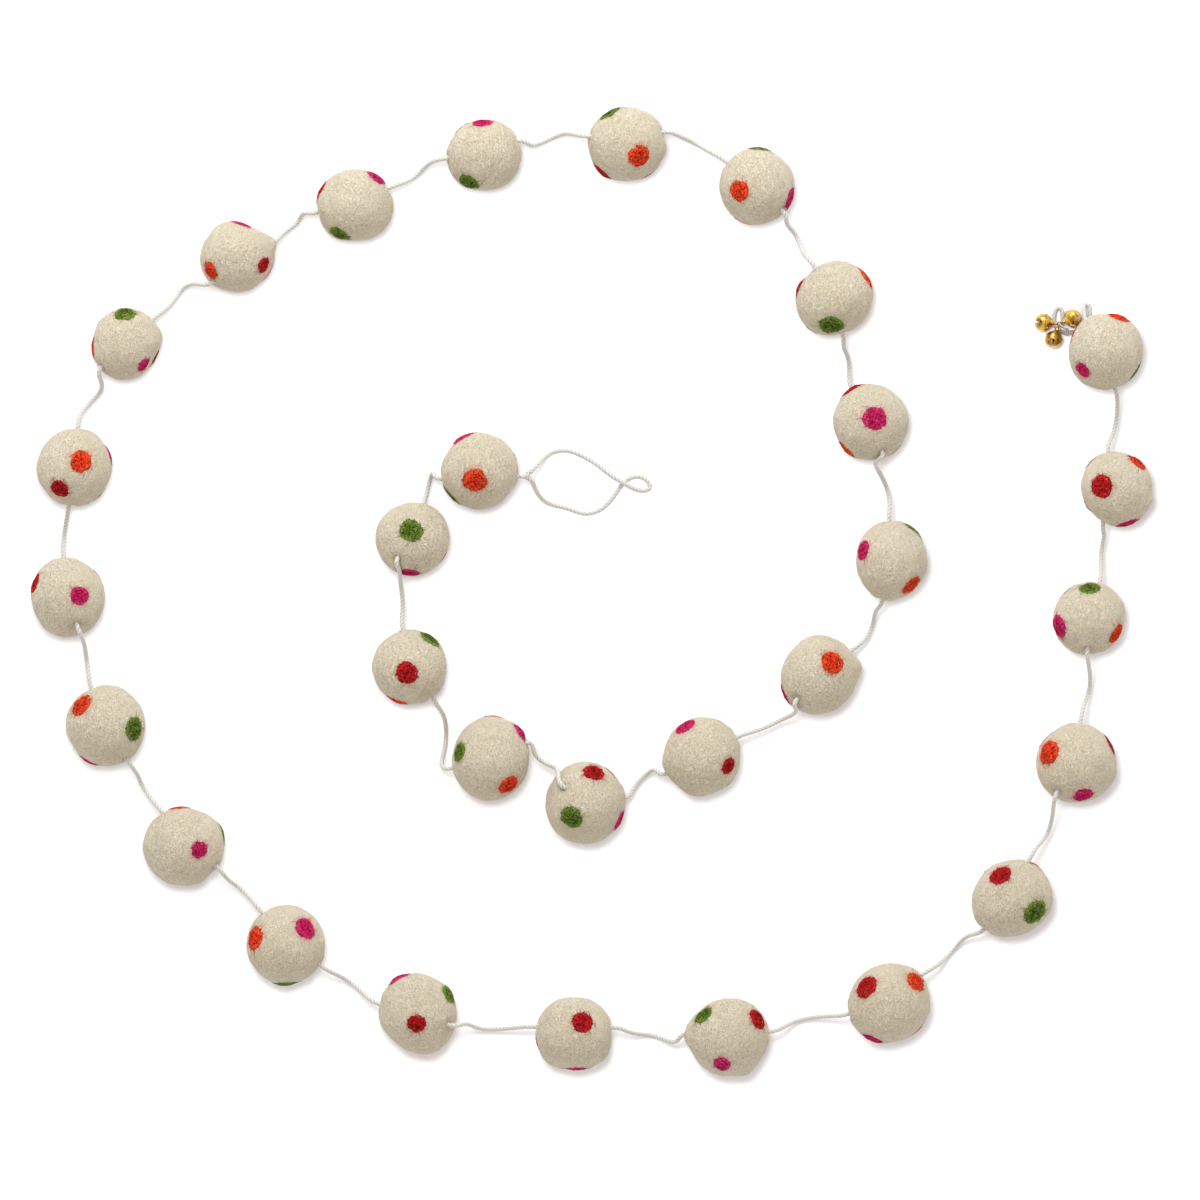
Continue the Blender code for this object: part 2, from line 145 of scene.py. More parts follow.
# The hanging loop, from the knot round to ball 1: across, along and height in millimetres.
LOOP_ROUTE = (
    (-28.0, 62.4, 18.6),
    (-25.6, 65.4, 14.0),
    (-22.3, 68.4, 6.8),
    (-18.0, 70.5, 1.8),
    (-12.5, 71.0, 1.0),
    (-4.0, 68.0, 1.0),
    (3.5, 63.5, 1.7),
    (10.0, 58.5, 3.2),
    (15.8, 55.0, 3.9),
    (21.0, 52.0, 2.8),
    (26.0, 50.8, 1.3),
    (29.8, 52.0, 1.0),
    (28.0, 56.0, 1.0),
    (24.0, 58.0, 1.0),
    (19.5, 57.2, 1.0),
    (15.3, 53.5, 1.0),
    (11.0, 47.5, 1.0),
    (5.0, 41.5, 1.0),
    (-2.0, 39.3, 1.0),
    (-12.0, 42.0, 1.2),
    (-22.0, 44.8, 4.0),
    (-26.0, 48.3, 9.5),
    (-28.4, 52.8, 15.0),
)

# From ball 30 through the two hairpin loops: across, along and height in millimetres.
TAIL_ROUTE = (
    (247.1, 138.9, 4.2),
    (246.7, 142.0, 2.0),
    (247.2, 143.9, 1.2),
    (248.3, 144.6, 1.0),
    (249.4, 143.9, 1.0),
    (249.8, 141.5, 1.0),
    (249.9, 137.5, 1.0),
    (248.8, 133.6, 1.0),
    (245.4, 131.0, 1.2),
)
HAIRPIN_ROUTE = (
    (233.5, 132.2, 1.3),
    (231.9, 135.0, 1.0),
    (232.1, 138.5, 1.0),
    (232.6, 141.2, 1.0),
    (234.3, 142.9, 1.0),
    (236.0, 141.2, 1.0),
    (236.2, 137.6, 1.0),
    (236.9, 134.6, 1.2),
)

# The thin thread through the bells' eyes: across, along from the tie and height in millimetres.
THREAD_ROUTE = (
    (2.0, -2.2, 4.6),
    (0.6, -0.8, 3.5),
    (0, 0, 4.6),
    (0, 0, 8.6),
    (0.1, -0.1, 9.7),
    (0.9, -0.9, 10.4),
    (2.2, -2.1, 9.0),
    (3.0, -2.8, 5.6),
    (3.3, -3.1, 4.2),
)
THREAD_RADIUS = 0.25 * MM
THREAD_PITCH = 1.2 * MM

# ---------------------------------------------------------------- looks
# Needle-felted dots that show from above, ball by ball: colour, bearing, tilt from straight up in degrees,
# and radius in millimetres.
ORANGE, CRIMSON, MAGENTA, GREEN = "orange", "crimson", "magenta", "green"
DOTS = (
    ((ORANGE, 244, 17, 6.0), (MAGENTA, 117, 86, 5.5), (GREEN, 221, 91, 5.5)),
    ((GREEN, 100, 14, 5.9), (MAGENTA, 262, 74, 5.8)),
    ((CRIMSON, 244, 10, 5.6), (GREEN, 54, 71, 5.5), (ORANGE, 249, 87, 5.3)),
    ((GREEN, 169, 57, 5.1), (MAGENTA, 41, 78, 5.0), (ORANGE, 304, 54, 5.4)),
    ((CRIMSON, 74, 53, 5.3), (GREEN, 226, 29, 5.6), (MAGENTA, 333, 82, 5.2)),
    ((MAGENTA, 120, 66, 5.4), (CRIMSON, 339, 47, 4.2)),
    ((ORANGE, 44, 28, 5.8), (MAGENTA, 209, 94, 5.5)),
    ((MAGENTA, 162, 57, 5.3), (ORANGE, 308, 64, 5.6), (GREEN, 55, 88, 5.2)),
    ((MAGENTA, 43, 7, 6.0), (CRIMSON, 120, 91, 5.8), (ORANGE, 228, 85, 5.4)),
    ((GREEN, 264, 50, 6.0), (CRIMSON, 162, 88, 5.3), (ORANGE, 32, 83, 5.4)),
    ((ORANGE, 197, 31, 5.3), (MAGENTA, 340, 77, 5.7), (GREEN, 85, 88, 5.4)),
    ((ORANGE, 313, 29, 5.7), (GREEN, 120, 75, 5.6), (CRIMSON, 228, 86, 5.3)),
    ((MAGENTA, 93, 67, 5.0), (GREEN, 241, 62, 5.2)),
    ((MAGENTA, 53, 73, 4.8), (GREEN, 242, 66, 5.6), (CRIMSON, 155, 92, 5.2)),
    ((ORANGE, 208, 57, 4.7), (CRIMSON, 342, 52, 3.9), (MAGENTA, 82, 85, 5.2)),
    ((GREEN, 91, 59, 5.2), (MAGENTA, 311, 57, 3.9), (ORANGE, 187, 88, 5.2)),
    ((ORANGE, 37, 14, 5.6), (CRIMSON, 237, 44, 4.7), (MAGENTA, 20, 95, 5.2)),
    ((MAGENTA, 5, 20, 4.8), (CRIMSON, 158, 78, 5.4)),
    ((ORANGE, 139, 55, 6.0), (GREEN, 355, 49, 5.9), (MAGENTA, 244, 90, 5.2)),
    ((MAGENTA, 349, 25, 4.3), (GREEN, 20, 95, 5.2), (ORANGE, 99, 92, 5.2)),
    ((MAGENTA, 39, 43, 5.8), (ORANGE, 168, 55, 6.0), (GREEN, 270, 90, 5.5)),
    ((CRIMSON, 264, 15, 4.5), (MAGENTA, 120, 86, 5.3), (GREEN, 31, 71, 5.0)),
    ((CRIMSON, 54, 23, 5.4), (MAGENTA, 274, 88, 5.4)),
    ((GREEN, 138, 60, 5.3), (CRIMSON, 32, 60, 5.3), (MAGENTA, 257, 44, 4.2)),
    ((CRIMSON, 144, 47, 6.2), (ORANGE, 39, 58, 5.4), (MAGENTA, 245, 78, 5.0)),
    ((CRIMSON, 118, 45, 5.8), (GREEN, 328, 45, 6.7)),
    ((ORANGE, 159, 50, 6.3), (MAGENTA, 282, 57, 5.1), (CRIMSON, 28, 84, 5.0)),
    ((GREEN, 90, 59, 5.2), (MAGENTA, 195, 64, 6.0), (ORANGE, 330, 65, 5.2)),
    ((CRIMSON, 171, 28, 6.0), (ORANGE, 53, 73, 5.2), (MAGENTA, 287, 82, 5.4)),
    ((ORANGE, 69, 77, 5.4), (MAGENTA, 219, 57, 4.1), (GREEN, 324, 89, 5.2)),
)
UNDERSIDE_TRIES = 9  # places looked at all round a ball's lower half
UNDERSIDE_TILT = (118, 108, 126)
DOT_APART = 52  # degrees between neighbouring dots on a ball
HOLE_APART = 26  # and between a dot and a hole of the cord

# Places where the felting left a ball out of true, ball by ball: bearing, tilt and spread in degrees, and
# how far the felt stands out (or in) in millimetres.
FORMS = (
    ((200, 60, 35, 0.5), (20, 84, 24, -0.5), (315, 84, 20, -0.9), (148, 84, 22, -0.6)),
    ((320, 84, 24, -0.7), (52, 82, 18, 0.7)),
    ((350, 84, 20, -0.6), (205, 84, 24, -0.3)),
    ((50, 82, 14, 0.1), (20, 84, 16, -0.7), (100, 80, 26, -0.5), (75, 84, 18, -0.7)),
    ((320, 80, 26, 0.7), (200, 84, 22, -0.6), (48, 82, 20, -1.1)),
    ((228, 86, 13, -1.6), (258, 78, 16, 0.9), (188, 80, 14, 0.6)),
    ((12, 84, 12, 1.9), (50, 82, 22, -1.3), (100, 84, 20, 0.7), (200, 70, 35, -0.6), (143, 84, 24, -0.8)),
    ((190, 80, 30, -0.5), (262, 86, 14, 0.8)),
    ((45, 80, 24, -0.5), (202, 84, 18, -0.7)),
    ((250, 86, 26, 0.5), (142, 84, 16, -0.6)),
    ((60, 84, 20, -0.6), (22, 84, 18, -0.9)),
    ((118, 84, 16, -0.5), (15, 84, 16, -0.9), (355, 84, 14, 0.6), (230, 84, 20, 0.9)),
    ((120, 80, 25, -0.6), (268, 86, 24, -0.9), (5, 84, 16, 0.6), (240, 84, 18, 0.6)),
    ((60, 82, 24, 0.5), (270, 86, 26, -1.0), (195, 84, 20, -0.6)),
    ((22, 86, 11, 3.0), (62, 84, 22, -1.8), (120, 84, 18, 0.7), (305, 82, 24, -0.8), (150, 84, 22, -0.8)),
    ((15, 84, 18, 1.4), (330, 84, 22, -1.7), (55, 84, 20, -0.7), (215, 84, 20, -0.6)),
    ((195, 80, 30, 0.5), (40, 84, 18, -0.6)),
    ((240, 84, 26, 0.7), (50, 84, 20, -0.6)),
    ((75, 84, 24, 0.6), (215, 86, 16, -0.8)),
    ((315, 86, 18, -1.2), (75, 82, 26, -0.6), (25, 84, 16, 0.7), (240, 86, 18, 0.7), (288, 84, 20, 0.6)),
    ((30, 84, 24, -0.4), (260, 84, 20, 0.6), (110, 84, 36, -0.8)),
    ((40, 84, 16, 1.0), (70, 84, 20, -0.6), (300, 80, 26, 0.9), (225, 84, 18, -0.7), (106, 84, 14, -0.8)),
    ((92, 86, 30, -0.8), (268, 86, 22, -0.9), (225, 84, 16, 1.1), (325, 84, 18, 0.9), (0, 84, 18, -0.6),
     (148, 84, 18, -0.8), (196, 84, 14, -0.8)),
    ((176, 88, 11, 2.4), (208, 84, 18, -0.9), (138, 84, 18, -1.1), (298, 86, 14, 1.4),
     (335, 84, 18, -0.8), (55, 80, 26, 0.6)),
    ((45, 82, 18, 0.9), (200, 80, 24, 0.7)),
    ((150, 80, 26, -0.7), (215, 84, 16, 0.8), (340, 84, 22, 0.9), (95, 84, 20, -0.5)),
    ((150, 84, 24, -0.2), (20, 84, 20, -0.7), (340, 84, 14, 0.8)),
    ((130, 80, 30, -0.4), (12, 78, 9, -0.8), (300, 84, 20, 0.5)),
    ((0, 80, 8, -1.4), (340, 78, 10, 0.7), (25, 80, 12, 0.6), (225, 84, 22, -0.6)),
    ((170, 84, 26, -0.7), (240, 84, 18, 0.6), (326, 86, 24, -1.1)),
)

CUBE_CELLS = 32  # along each edge of the cube that a ball's grid is made from
UNDERSIDE_RADIUS = 5.4 * MM  # of the dots that lie underneath
MEAN_RADIUS = 19 * MM  # of a ball
RIM_OVERLAP = 1.05  # a dot's outermost ring dips under the felt
DOT_RINGS = 9
DOT_SIDES = 40
DOT_RISE = 0.50 * MM
FIBRES = ((26, 0.10, 0.19 * MM), (20, 0.38, 0.08 * MM))  # a dot's tufts and wisps: count, reach, thickness
FIBRE_RIM = 0.75  # they are as pale as this share of the way out to the rim
HAIRS_PER_BALL = 240
PUCKER_SPREAD = 0.12  # of the felt drawn in round a hole, in radians
PUCKER_DEPTH = 1.0 * MM
CORD_SIDES = 12
CORD_RING_STEP = 0.55 * MM
CORD_PLIES = 3
CORD_PITCH = 6.0 * MM
KNOT_SIDES = 10
KNOT_STRAND = 0.75 * MM  # room for each turn in a knot
DRAWN_YARN = 0.72 * MM  # radius of the cord where a knot is drawn tight

# Each dyed wool: deep in the middle of a dot, and pale at its rim.
COLOURS = {
    ORANGE: ((0.92, 0.030, 0.012), (1.0, 0.16, 0.05)),
    CRIMSON: ((0.46, 0.008, 0.012), (0.72, 0.04, 0.04)),
    MAGENTA: ((0.64, 0.010, 0.095), (0.90, 0.07, 0.26)),
    GREEN: ((0.070, 0.130, 0.016), (0.34, 0.45, 0.085)),
}
CREAM_LIGHT = (0.90, 0.815, 0.645)
CREAM_DEEP = (0.85, 0.75, 0.56)
# darker brown round each of the cord's holes, in the pucker
HOLE_BROWN = (0.46, 0.34, 0.22)

LENS = 520  # both in the camera's own millimetres
SENSOR = 36
VIEW_WIDTH = 0.600
VIEW_MIDDLE = (0.0045, -0.0040, 0.019)  # at the height of the balls' middles
FLOOR_HALF = 2.0
FLOOR_LEVEL = -0.05 * MM

rng = np.random.default_rng(20)


# ---------------------------------------------------------------- camera, light and floor
def make_camera():
    """Looks straight down from far above, so that the garland is seen almost without perspective."""
    camera = bpy.data.objects.new("camera", bpy.data.cameras.new("camera"))
    bpy.context.scene.collection.objects.link(camera)
    camera.data.lens = LENS
    camera.data.sensor_width = SENSOR
    across, along, height = VIEW_MIDDLE
    camera.location = (across, along, height + VIEW_WIDTH * LENS / SENSOR)
    camera.data.clip_end = 50
    bpy.context.scene.camera = camera


def area_light(name, place, size, power, colour):
    """A disk light aimed at the middle of the layout."""
    light = bpy.data.lights.new(name, "AREA")
    light.shape = "DISK"
    light.size = size
    light.energy = power
    light.color = colour
    lamp = bpy.data.objects.new(name, light)
    bpy.context.scene.collection.objects.link(lamp)
    lamp.location = place
    lamp.rotation_euler = (-Vector(place)).to_track_quat("-Z", "Y").to_euler()
    lamp.visible_camera = False
    return lamp


def link_light(lamp, floor, state):
    """Links the lamp to the floor only, or to all but the floor, so that the two can be lit apart."""
    receivers = bpy.data.collections.new(f"{lamp.name}_receivers")
    receivers.objects.link(floor)
    receivers.collection_objects[0].light_linking.link_state = state
    lamp.light_linking.receiver_collection = receivers


def make_lights(floor):
    """Broad soft light from beyond the top of the layout, in an even pale room. The floor has a lamp of
    its own, nearly overhead, which keeps its shadows short."""
    key = area_light("key", place=(-0.15, 1.80, 1.30), size=1.3, power=41, colour=(0.95, 0.98, 1.0))
    link_light(key, floor, "EXCLUDE")
    overhead = area_light("overhead", place=(-0.22, 0.42, 3.0), size=0.75, power=66, colour=(1.0, 1.0, 1.0))
    link_light(overhead, floor, "INCLUDE")
    world = bpy.data.worlds.new("studio")
    world.use_nodes = True
    room = world.node_tree.nodes["Background"]
    room.inputs["Color"].default_value = (1.0, 0.97, 0.925, 1)
    room.inputs["Strength"].default_value = 0.84
    bpy.context.scene.world = world
    bpy.context.scene.view_settings.view_transform = "Standard"


def make_floor():
    """A wide pale square just below the balls' flat spots."""
    mesh = bpy.data.meshes.new("floor")
    signs = ((-1, -1), (1, -1), (1, 1), (-1, 1))
    corners = [(FLOOR_HALF * x, FLOOR_HALF * y, FLOOR_LEVEL) for x, y in signs]
    mesh.from_pydata(corners, [], [(0, 1, 2, 3)])
    floor = bpy.data.objects.new("floor", mesh)
    bpy.context.scene.collection.objects.link(floor)
    material, shader, _ = new_material("floor_white")
    set_values(shader, {"Base Color": (0.90, 0.91, 0.945, 1), "Roughness": 0.9, "Specular IOR Level": 0.1})
    mesh.materials.append(material)
    return floor


# ---------------------------------------------------------------- materials
def new_material(name):
    """(material, its Principled BSDF, its node tree)."""
    material = bpy.data.materials.new(name)
    material.use_nodes = True
    tree = material.node_tree
    return material, tree.nodes["Principled BSDF"], tree


def set_values(shader, values):
    for socket, value in values.items():
        shader.inputs[socket].default_value = value


def node(tree, kind, **values):
    """A new node with its sockets or settings set by name."""
    made = tree.nodes.new(kind)
    for key, value in values.items():
        if key in made.inputs:
            made.inputs[key].default_value = value
        else:
            setattr(made, key, value)
    return made


def object_place(tree):
    return node(tree, "ShaderNodeTexCoord").outputs["Object"]


def attribute(tree, name):
    """The Attribute node that reads a mesh attribute at the surface."""
    return node(tree, "ShaderNodeAttribute", attribute_name=name)


def mix(tree, factor, first, second):
    """Mixes two colours; factor and colours are sockets or plain values."""
    made = tree.nodes.new("ShaderNodeMix")
    made.data_type = "RGBA"
    for socket, value in ((made.inputs[0], factor), (made.inputs[6], first), (made.inputs[7], second)):
        if isinstance(value, bpy.types.NodeSocket):
            tree.links.new(value, socket)
        else:
            socket.default_value = value if isinstance(value, float) else (*value, 1.0)
    return made.outputs[2]


def ramp(tree, value, low, high, start=0.0, end=1.0):
    """A straight ramp: start up to low, end from high on."""
    made = tree.nodes.new("ShaderNodeMapRange")
    tree.links.new(value, made.inputs["Value"])
    for name, number in (("From Min", low), ("From Max", high), ("To Min", start), ("To Max", end)):
        made.inputs[name].default_value = number
    return made.outputs["Result"]


def product(tree, first, second):
    """first times second; each is a socket or a plain number."""
    made = tree.nodes.new("ShaderNodeMath")
    made.operation = "MULTIPLY"
    for socket, value in zip(made.inputs, (first, second)):
        if isinstance(value, bpy.types.NodeSocket):
            tree.links.new(value, socket)
        else:
            socket.default_value = value
    return made.outputs[0]


def noise(tree, place, scale, detail=2.0, roughness=0.5, distortion=0.0):
    """Blender's noise, 0 to 1, with scale in repeats for each metre."""
    made = node(tree, "ShaderNodeTexNoise", Scale=scale, Detail=detail, Roughness=roughness,
                Distortion=distortion)
    tree.links.new(place, made.inputs["Vector"])
    return made.outputs["Fac"]


def strokes(tree, place, scale, stretch, width):
    """Thin curling strokes, like single fibres lying on the felt: 1 where a stretched noise is near its
    middle value, 0 elsewhere."""
    bent = node(tree, "ShaderNodeMapping")
    bent.inputs["Scale"].default_value = stretch
    tree.links.new(place, bent.inputs["Vector"])
    away = node(tree, "ShaderNodeMath", operation="SUBTRACT")
    tree.links.new(noise(tree, bent.outputs[0], scale, 2.5, 0.55, 1.3), away.inputs[0])
    away.inputs[1].default_value = 0.5
    size = node(tree, "ShaderNodeMath", operation="ABSOLUTE")
    tree.links.new(away.outputs[0], size.inputs[0])
    return ramp(tree, size.outputs[0], 0.0, width, 1.0, 0.0)


def felt_fibres(tree):
    """(mottle, grain, pale, dark, fine): broad mottling of the wool, its fine grain, pale fibre strokes,
    dark strokes across them that the felt dents and paints as shade along creases, and the fine creases
    between fibres, all from the place in space."""
    place = object_place(tree)
    mottle = noise(tree, place, 110.0, 3.0)
    grain = noise(tree, place, 1900.0, 2.0, 0.6, 0.8)
    pale = strokes(tree, place, 760.0, (1.0, 2.2, 1.5), 0.05)
    dark = strokes(tree, place, 680.0, (2.1, 1.0, 1.6), 0.04)
    fine = strokes(tree, place, 900.0, (1.5, 1.0, 2.3), 0.06)
    return mottle, grain, pale, dark, fine


def bump(tree, shader, heights, strength=0.8):
    """Chains one Bump node for each (height socket, distance in metres)."""
    last = None
    for height, distance in heights:
        made = tree.nodes.new("ShaderNodeBump")
        made.inputs["Strength"].default_value = strength
        made.inputs["Distance"].default_value = distance
        tree.links.new(height, made.inputs["Height"])
        if last:
            tree.links.new(last.outputs[0], made.inputs["Normal"])
        last = made
    tree.links.new(last.outputs[0], shader.inputs["Normal"])


def cream_felt():
    """Cream wool: mottled and grained, with pale fibres and the coloured fuzz that is drawn out round each
    dot. The grain is partly its own tone and partly painted light and shade: darker where its bump dips,
    paler where it rises. The brownish strokes are painted shade along the creases that the bump dents.
    The fuzz is the mesh attribute dot_fuzz: its colour, and its strength as alpha."""
    material, shader, tree = new_material("cream_felt")
    mottle, grain, pale, dark, fine = felt_fibres(tree)
    base = mix(tree, ramp(tree, mottle, 0.30, 0.72), CREAM_DEEP, CREAM_LIGHT)
    # painted light and shade on the wool's grain tone: darker where the grain's bump dips, paler where it
    # rises
    base = mix(tree, ramp(tree, grain, 0.39, 0.53, 0.65, 0.0), base, (0.50, 0.385, 0.225))
    base = mix(tree, ramp(tree, grain, 0.53, 0.64, 0.0, 0.25), base, (0.98, 0.94, 0.82))
    base = mix(tree, product(tree, pale, 0.35), base, (0.96, 0.91, 0.79))
    # painted shade: the dark strokes, dented by the bump below, darken the felt along its creases
    base = mix(tree, product(tree, dark, 0.45), base, (0.50, 0.38, 0.23))
    fuzz = attribute(tree, "dot_fuzz")
    uneven = ramp(tree, grain, 0.40, 0.60, 0.15, 1.0)
    base = mix(tree, product(tree, fuzz.outputs["Alpha"], uneven), base, fuzz.outputs["Color"])
    tree.links.new(base, shader.inputs["Base Color"])
    set_values(shader, {"Roughness": 0.95, "Specular IOR Level": 0.12, "Sheen Weight": 0.12,
                        "Sheen Roughness": 0.6})
    bump(tree, shader, ((grain, 0.0005), (dark, -0.0003), (fine, -0.0002)))
    return material


def dot_felt(name):
    """Dyed wool punched in with a needle: deep in the middle, paler and fuzzier towards the rim by the
    mesh attribute rim. Lit and shaded copies of the dye, mixed by the grain, are painted light and shade,
    and the needle pits are painted dark as shade."""
    deep, pale_rim = COLOURS[name]
    material, shader, tree = new_material(f"{name}_felt")
    place = object_place(tree)
    mottle = noise(tree, place, 220.0, 3.0)
    grain = noise(tree, place, 900.0, 3.0, 0.6, 0.8)
    threads = strokes(tree, place, 300.0, (1.0, 1.9, 1.4), 0.06)
    pits = strokes(tree, place, 380.0, (1.8, 1.0, 1.5), 0.045)
    rim = attribute(tree, "rim").outputs["Fac"]
    # painted light and shade: a lit and a shaded copy of the dye, and a darker copy that is painted shade
    # in the needle pits, which the bump dents
    shaded, lit, pit_shade = (tuple(share * c for c in deep) for share in (0.30, 1.30, 0.12))
    base = mix(tree, ramp(tree, grain, 0.42, 0.55), shaded, lit)
    base = mix(tree, product(tree, threads, 0.75), base, pale_rim)
    # painted shade in the needle pits
    base = mix(tree, product(tree, pits, 0.90), base, pit_shade)
    edge = product(tree, ramp(tree, rim, 0.55, 1.0), ramp(tree, grain, 0.38, 0.60, 0.25, 0.9))
    base = mix(tree, edge, base, pale_rim)
    tree.links.new(base, shader.inputs["Base Color"])
    set_values(shader, {"Roughness": 0.95, "Specular IOR Level": 0.04})
    bump(tree, shader, ((mottle, 0.0006), (grain, 0.0009), (threads, 0.0004), (pits, -0.0006)))
    return material


def hair_felt():
    """Single wool fibres that stand off the cream balls."""
    material, shader, tree = new_material("wool_hair")
    tone = noise(tree, object_place(tree), 260.0)
    base = mix(tree, ramp(tree, tone, 0.35, 0.65), (0.70, 0.62, 0.48), (0.90, 0.86, 0.76))
    tree.links.new(base, shader.inputs["Base Color"])
    shader.inputs["Roughness"].default_value = 0.8
    return material


def cord_yarn():
    """Off-white twisted yarn with a slight sheen. The mesh attribute ply runs from 0 in the grooves between
    the plies to 1 on their crests, and the grooves are painted darker as shade."""
    material, shader, tree = new_material("cord_yarn")
    place = object_place(tree)
    fine = noise(tree, place, 2600.0, 3.0, 0.6)
    soil = noise(tree, place, 60.0)
    ply = attribute(tree, "ply").outputs["Fac"]
    # painted shade: the grooves between the plies are darker
    base = mix(tree, ramp(tree, ply, 0.0, 0.8), (0.36, 0.34, 0.30), (0.68, 0.665, 0.63))
    base = mix(tree, ramp(tree, soil, 0.4, 0.7, 0.0, 0.3), base, (0.62, 0.59, 0.53))
    base = mix(tree, ramp(tree, fine, 0.35, 0.5, 0.35, 0.0), base, (0.46, 0.44, 0.41))
    tree.links.new(base, shader.inputs["Base Color"])
    set_values(shader, {"Roughness": 0.55, "Sheen Weight": 0.2})
    bump(tree, shader, ((fine, 0.0002),))
    return material


def gold_metal():
    """Thin gold-coloured plating over pressed brass: bright, a little uneven and duller in patches. The
    inside of the shell, where the mesh attribute inside is 1, is painted dark as shade."""
    material, shader, tree = new_material("gold_metal")
    place = object_place(tree)
    wear = noise(tree, place, 320.0, 4.0, 0.6)
    grain = noise(tree, place, 1800.0, 3.0)
    base = mix(tree, ramp(tree, wear, 0.40, 0.62), (0.34, 0.17, 0.025), (0.86, 0.56, 0.12))
    # painted shade: the inside of the shell is dark
    base = mix(tree, attribute(tree, "inside").outputs["Fac"], base, (0.035, 0.020, 0.008))
    tree.links.new(base, shader.inputs["Base Color"])
    shader.inputs["Metallic"].default_value = 1.0
    tree.links.new(ramp(tree, wear, 0.35, 0.7, 0.16, 0.34), shader.inputs["Roughness"])
    bump(tree, shader, ((wear, 0.00025), (grain, 0.00004)), 0.5)
    return material


def clapper_metal():
    """Dull grained steel."""
    material, shader, tree = new_material("clapper_steel")
    grain = noise(tree, object_place(tree), 900.0, 3.0)
    base = mix(tree, grain, (0.20, 0.19, 0.18), (0.42, 0.40, 0.37))
    tree.links.new(base, shader.inputs["Base Color"])
    set_values(shader, {"Metallic": 1.0, "Roughness": 0.35})
    return material


# ---------------------------------------------------------------- mesh helpers
def add_mesh(name, vertices, faces, material, attributes=()):
    """A mesh object at the origin from whole arrays. faces is an (n, 3) or (n, 4) array or a list of
    such arrays; attributes holds (name, type, values) at the vertices."""
    mesh = bpy.data.meshes.new(name)
    groups = faces if isinstance(faces, list) else [faces]
    corners = np.concatenate([group.ravel() for group in groups]).astype(np.int32)
    sizes = np.concatenate([np.full(len(group), group.shape[1]) for group in groups]).astype(np.int32)
    mesh.vertices.add(len(vertices))
    mesh.vertices.foreach_set("co", np.asarray(vertices, np.float32).ravel())
    mesh.loops.add(len(corners))
    mesh.loops.foreach_set("vertex_index", corners)
    mesh.polygons.add(len(sizes))
    mesh.polygons.foreach_set("loop_start", np.concatenate(([0], np.cumsum(sizes)[:-1])).astype(np.int32))
    mesh.polygons.foreach_set("loop_total", sizes)
    mesh.update(calc_edges=True)
    mesh.validate()
    for title, kind, values in attributes:
        layer = mesh.attributes.new(title, kind, "POINT")
        field = "color" if kind == "FLOAT_COLOR" else "value"
        layer.data.foreach_set(field, np.asarray(values, np.float32).ravel())
    mesh.shade_smooth()
    mesh.materials.append(material)
    made = bpy.data.objects.new(name, mesh)
    bpy.context.scene.collection.objects.link(made)
    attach(made, BODY)
    return made


def unit(vector):
    return vector / np.linalg.norm(vector)


def units(vectors):
    """Each row made a unit vector."""
    return vectors / np.linalg.norm(vectors, axis=1)[:, None]


def full_turn(count):
    """Even angles all the way round."""
    return np.arange(count) * 2 * math.pi / count


def direction(bearing, lift=0.0):
    """Unit vector from a bearing and a lift in degrees."""
    bearing, lift = np.radians(bearing), np.radians(lift)
    return np.array((np.cos(lift) * np.cos(bearing), np.cos(lift) * np.sin(bearing), np.sin(lift)))


def angle_between(ways, way):
    """Angles in radians between unit vectors and one unit vector."""
    return np.arccos(np.clip(ways @ way, -1, 1))


class Lumps:
    """Smooth value noise: random numbers on a lattice, blended by smoothstep between its corners."""

    SIDE = 24

    def __init__(self, seed):
        self.grid = np.random.default_rng(seed).uniform(-1, 1, (self.SIDE,) * 3)

    def __call__(self, points):
        cell = np.floor(points).astype(int)
        part = points - cell
        part = part * part * (3 - 2 * part)
        total = np.zeros(points.shape[:-1])
        for corner in np.ndindex(2, 2, 2):
            weight = np.prod(np.where(corner, part, 1 - part), axis=-1)
            index = (cell + corner) % self.SIDE
            total += weight * self.grid[index[..., 0], index[..., 1], index[..., 2]]
        return total


lumps = Lumps(5)


def cube_sphere(cells):
    """(directions, quads) of a sphere without poles: each face of a cube carries an even grid in angle,
    and each grid point is pushed out to the unit sphere. Shared edges are merged."""
    angle = np.tan(np.linspace(-math.pi / 4, math.pi / 4, cells + 1))
    a, b = np.meshgrid(angle, angle, indexing="ij")
    ones = np.ones_like(a)
    grids = ((ones, a, b), (-ones, b, a), (b, ones, a), (a, -ones, b), (a, b, ones), (b, a, -ones))
    points = np.concatenate([np.stack(grid, -1).reshape(-1, 3) for grid in grids])
    index = np.arange((cells + 1) ** 2).reshape(cells + 1, cells + 1)
    quad = np.stack((index[:-1, :-1], index[1:, :-1], index[1:, 1:], index[:-1, 1:]), -1).reshape(-1, 4)
    quads = np.concatenate([quad + side * (cells + 1) ** 2 for side in range(6)])
    _, first, where = np.unique(np.round(points, 6), axis=0, return_index=True, return_inverse=True)
    return units(points[first]), where.reshape(-1)[quads]


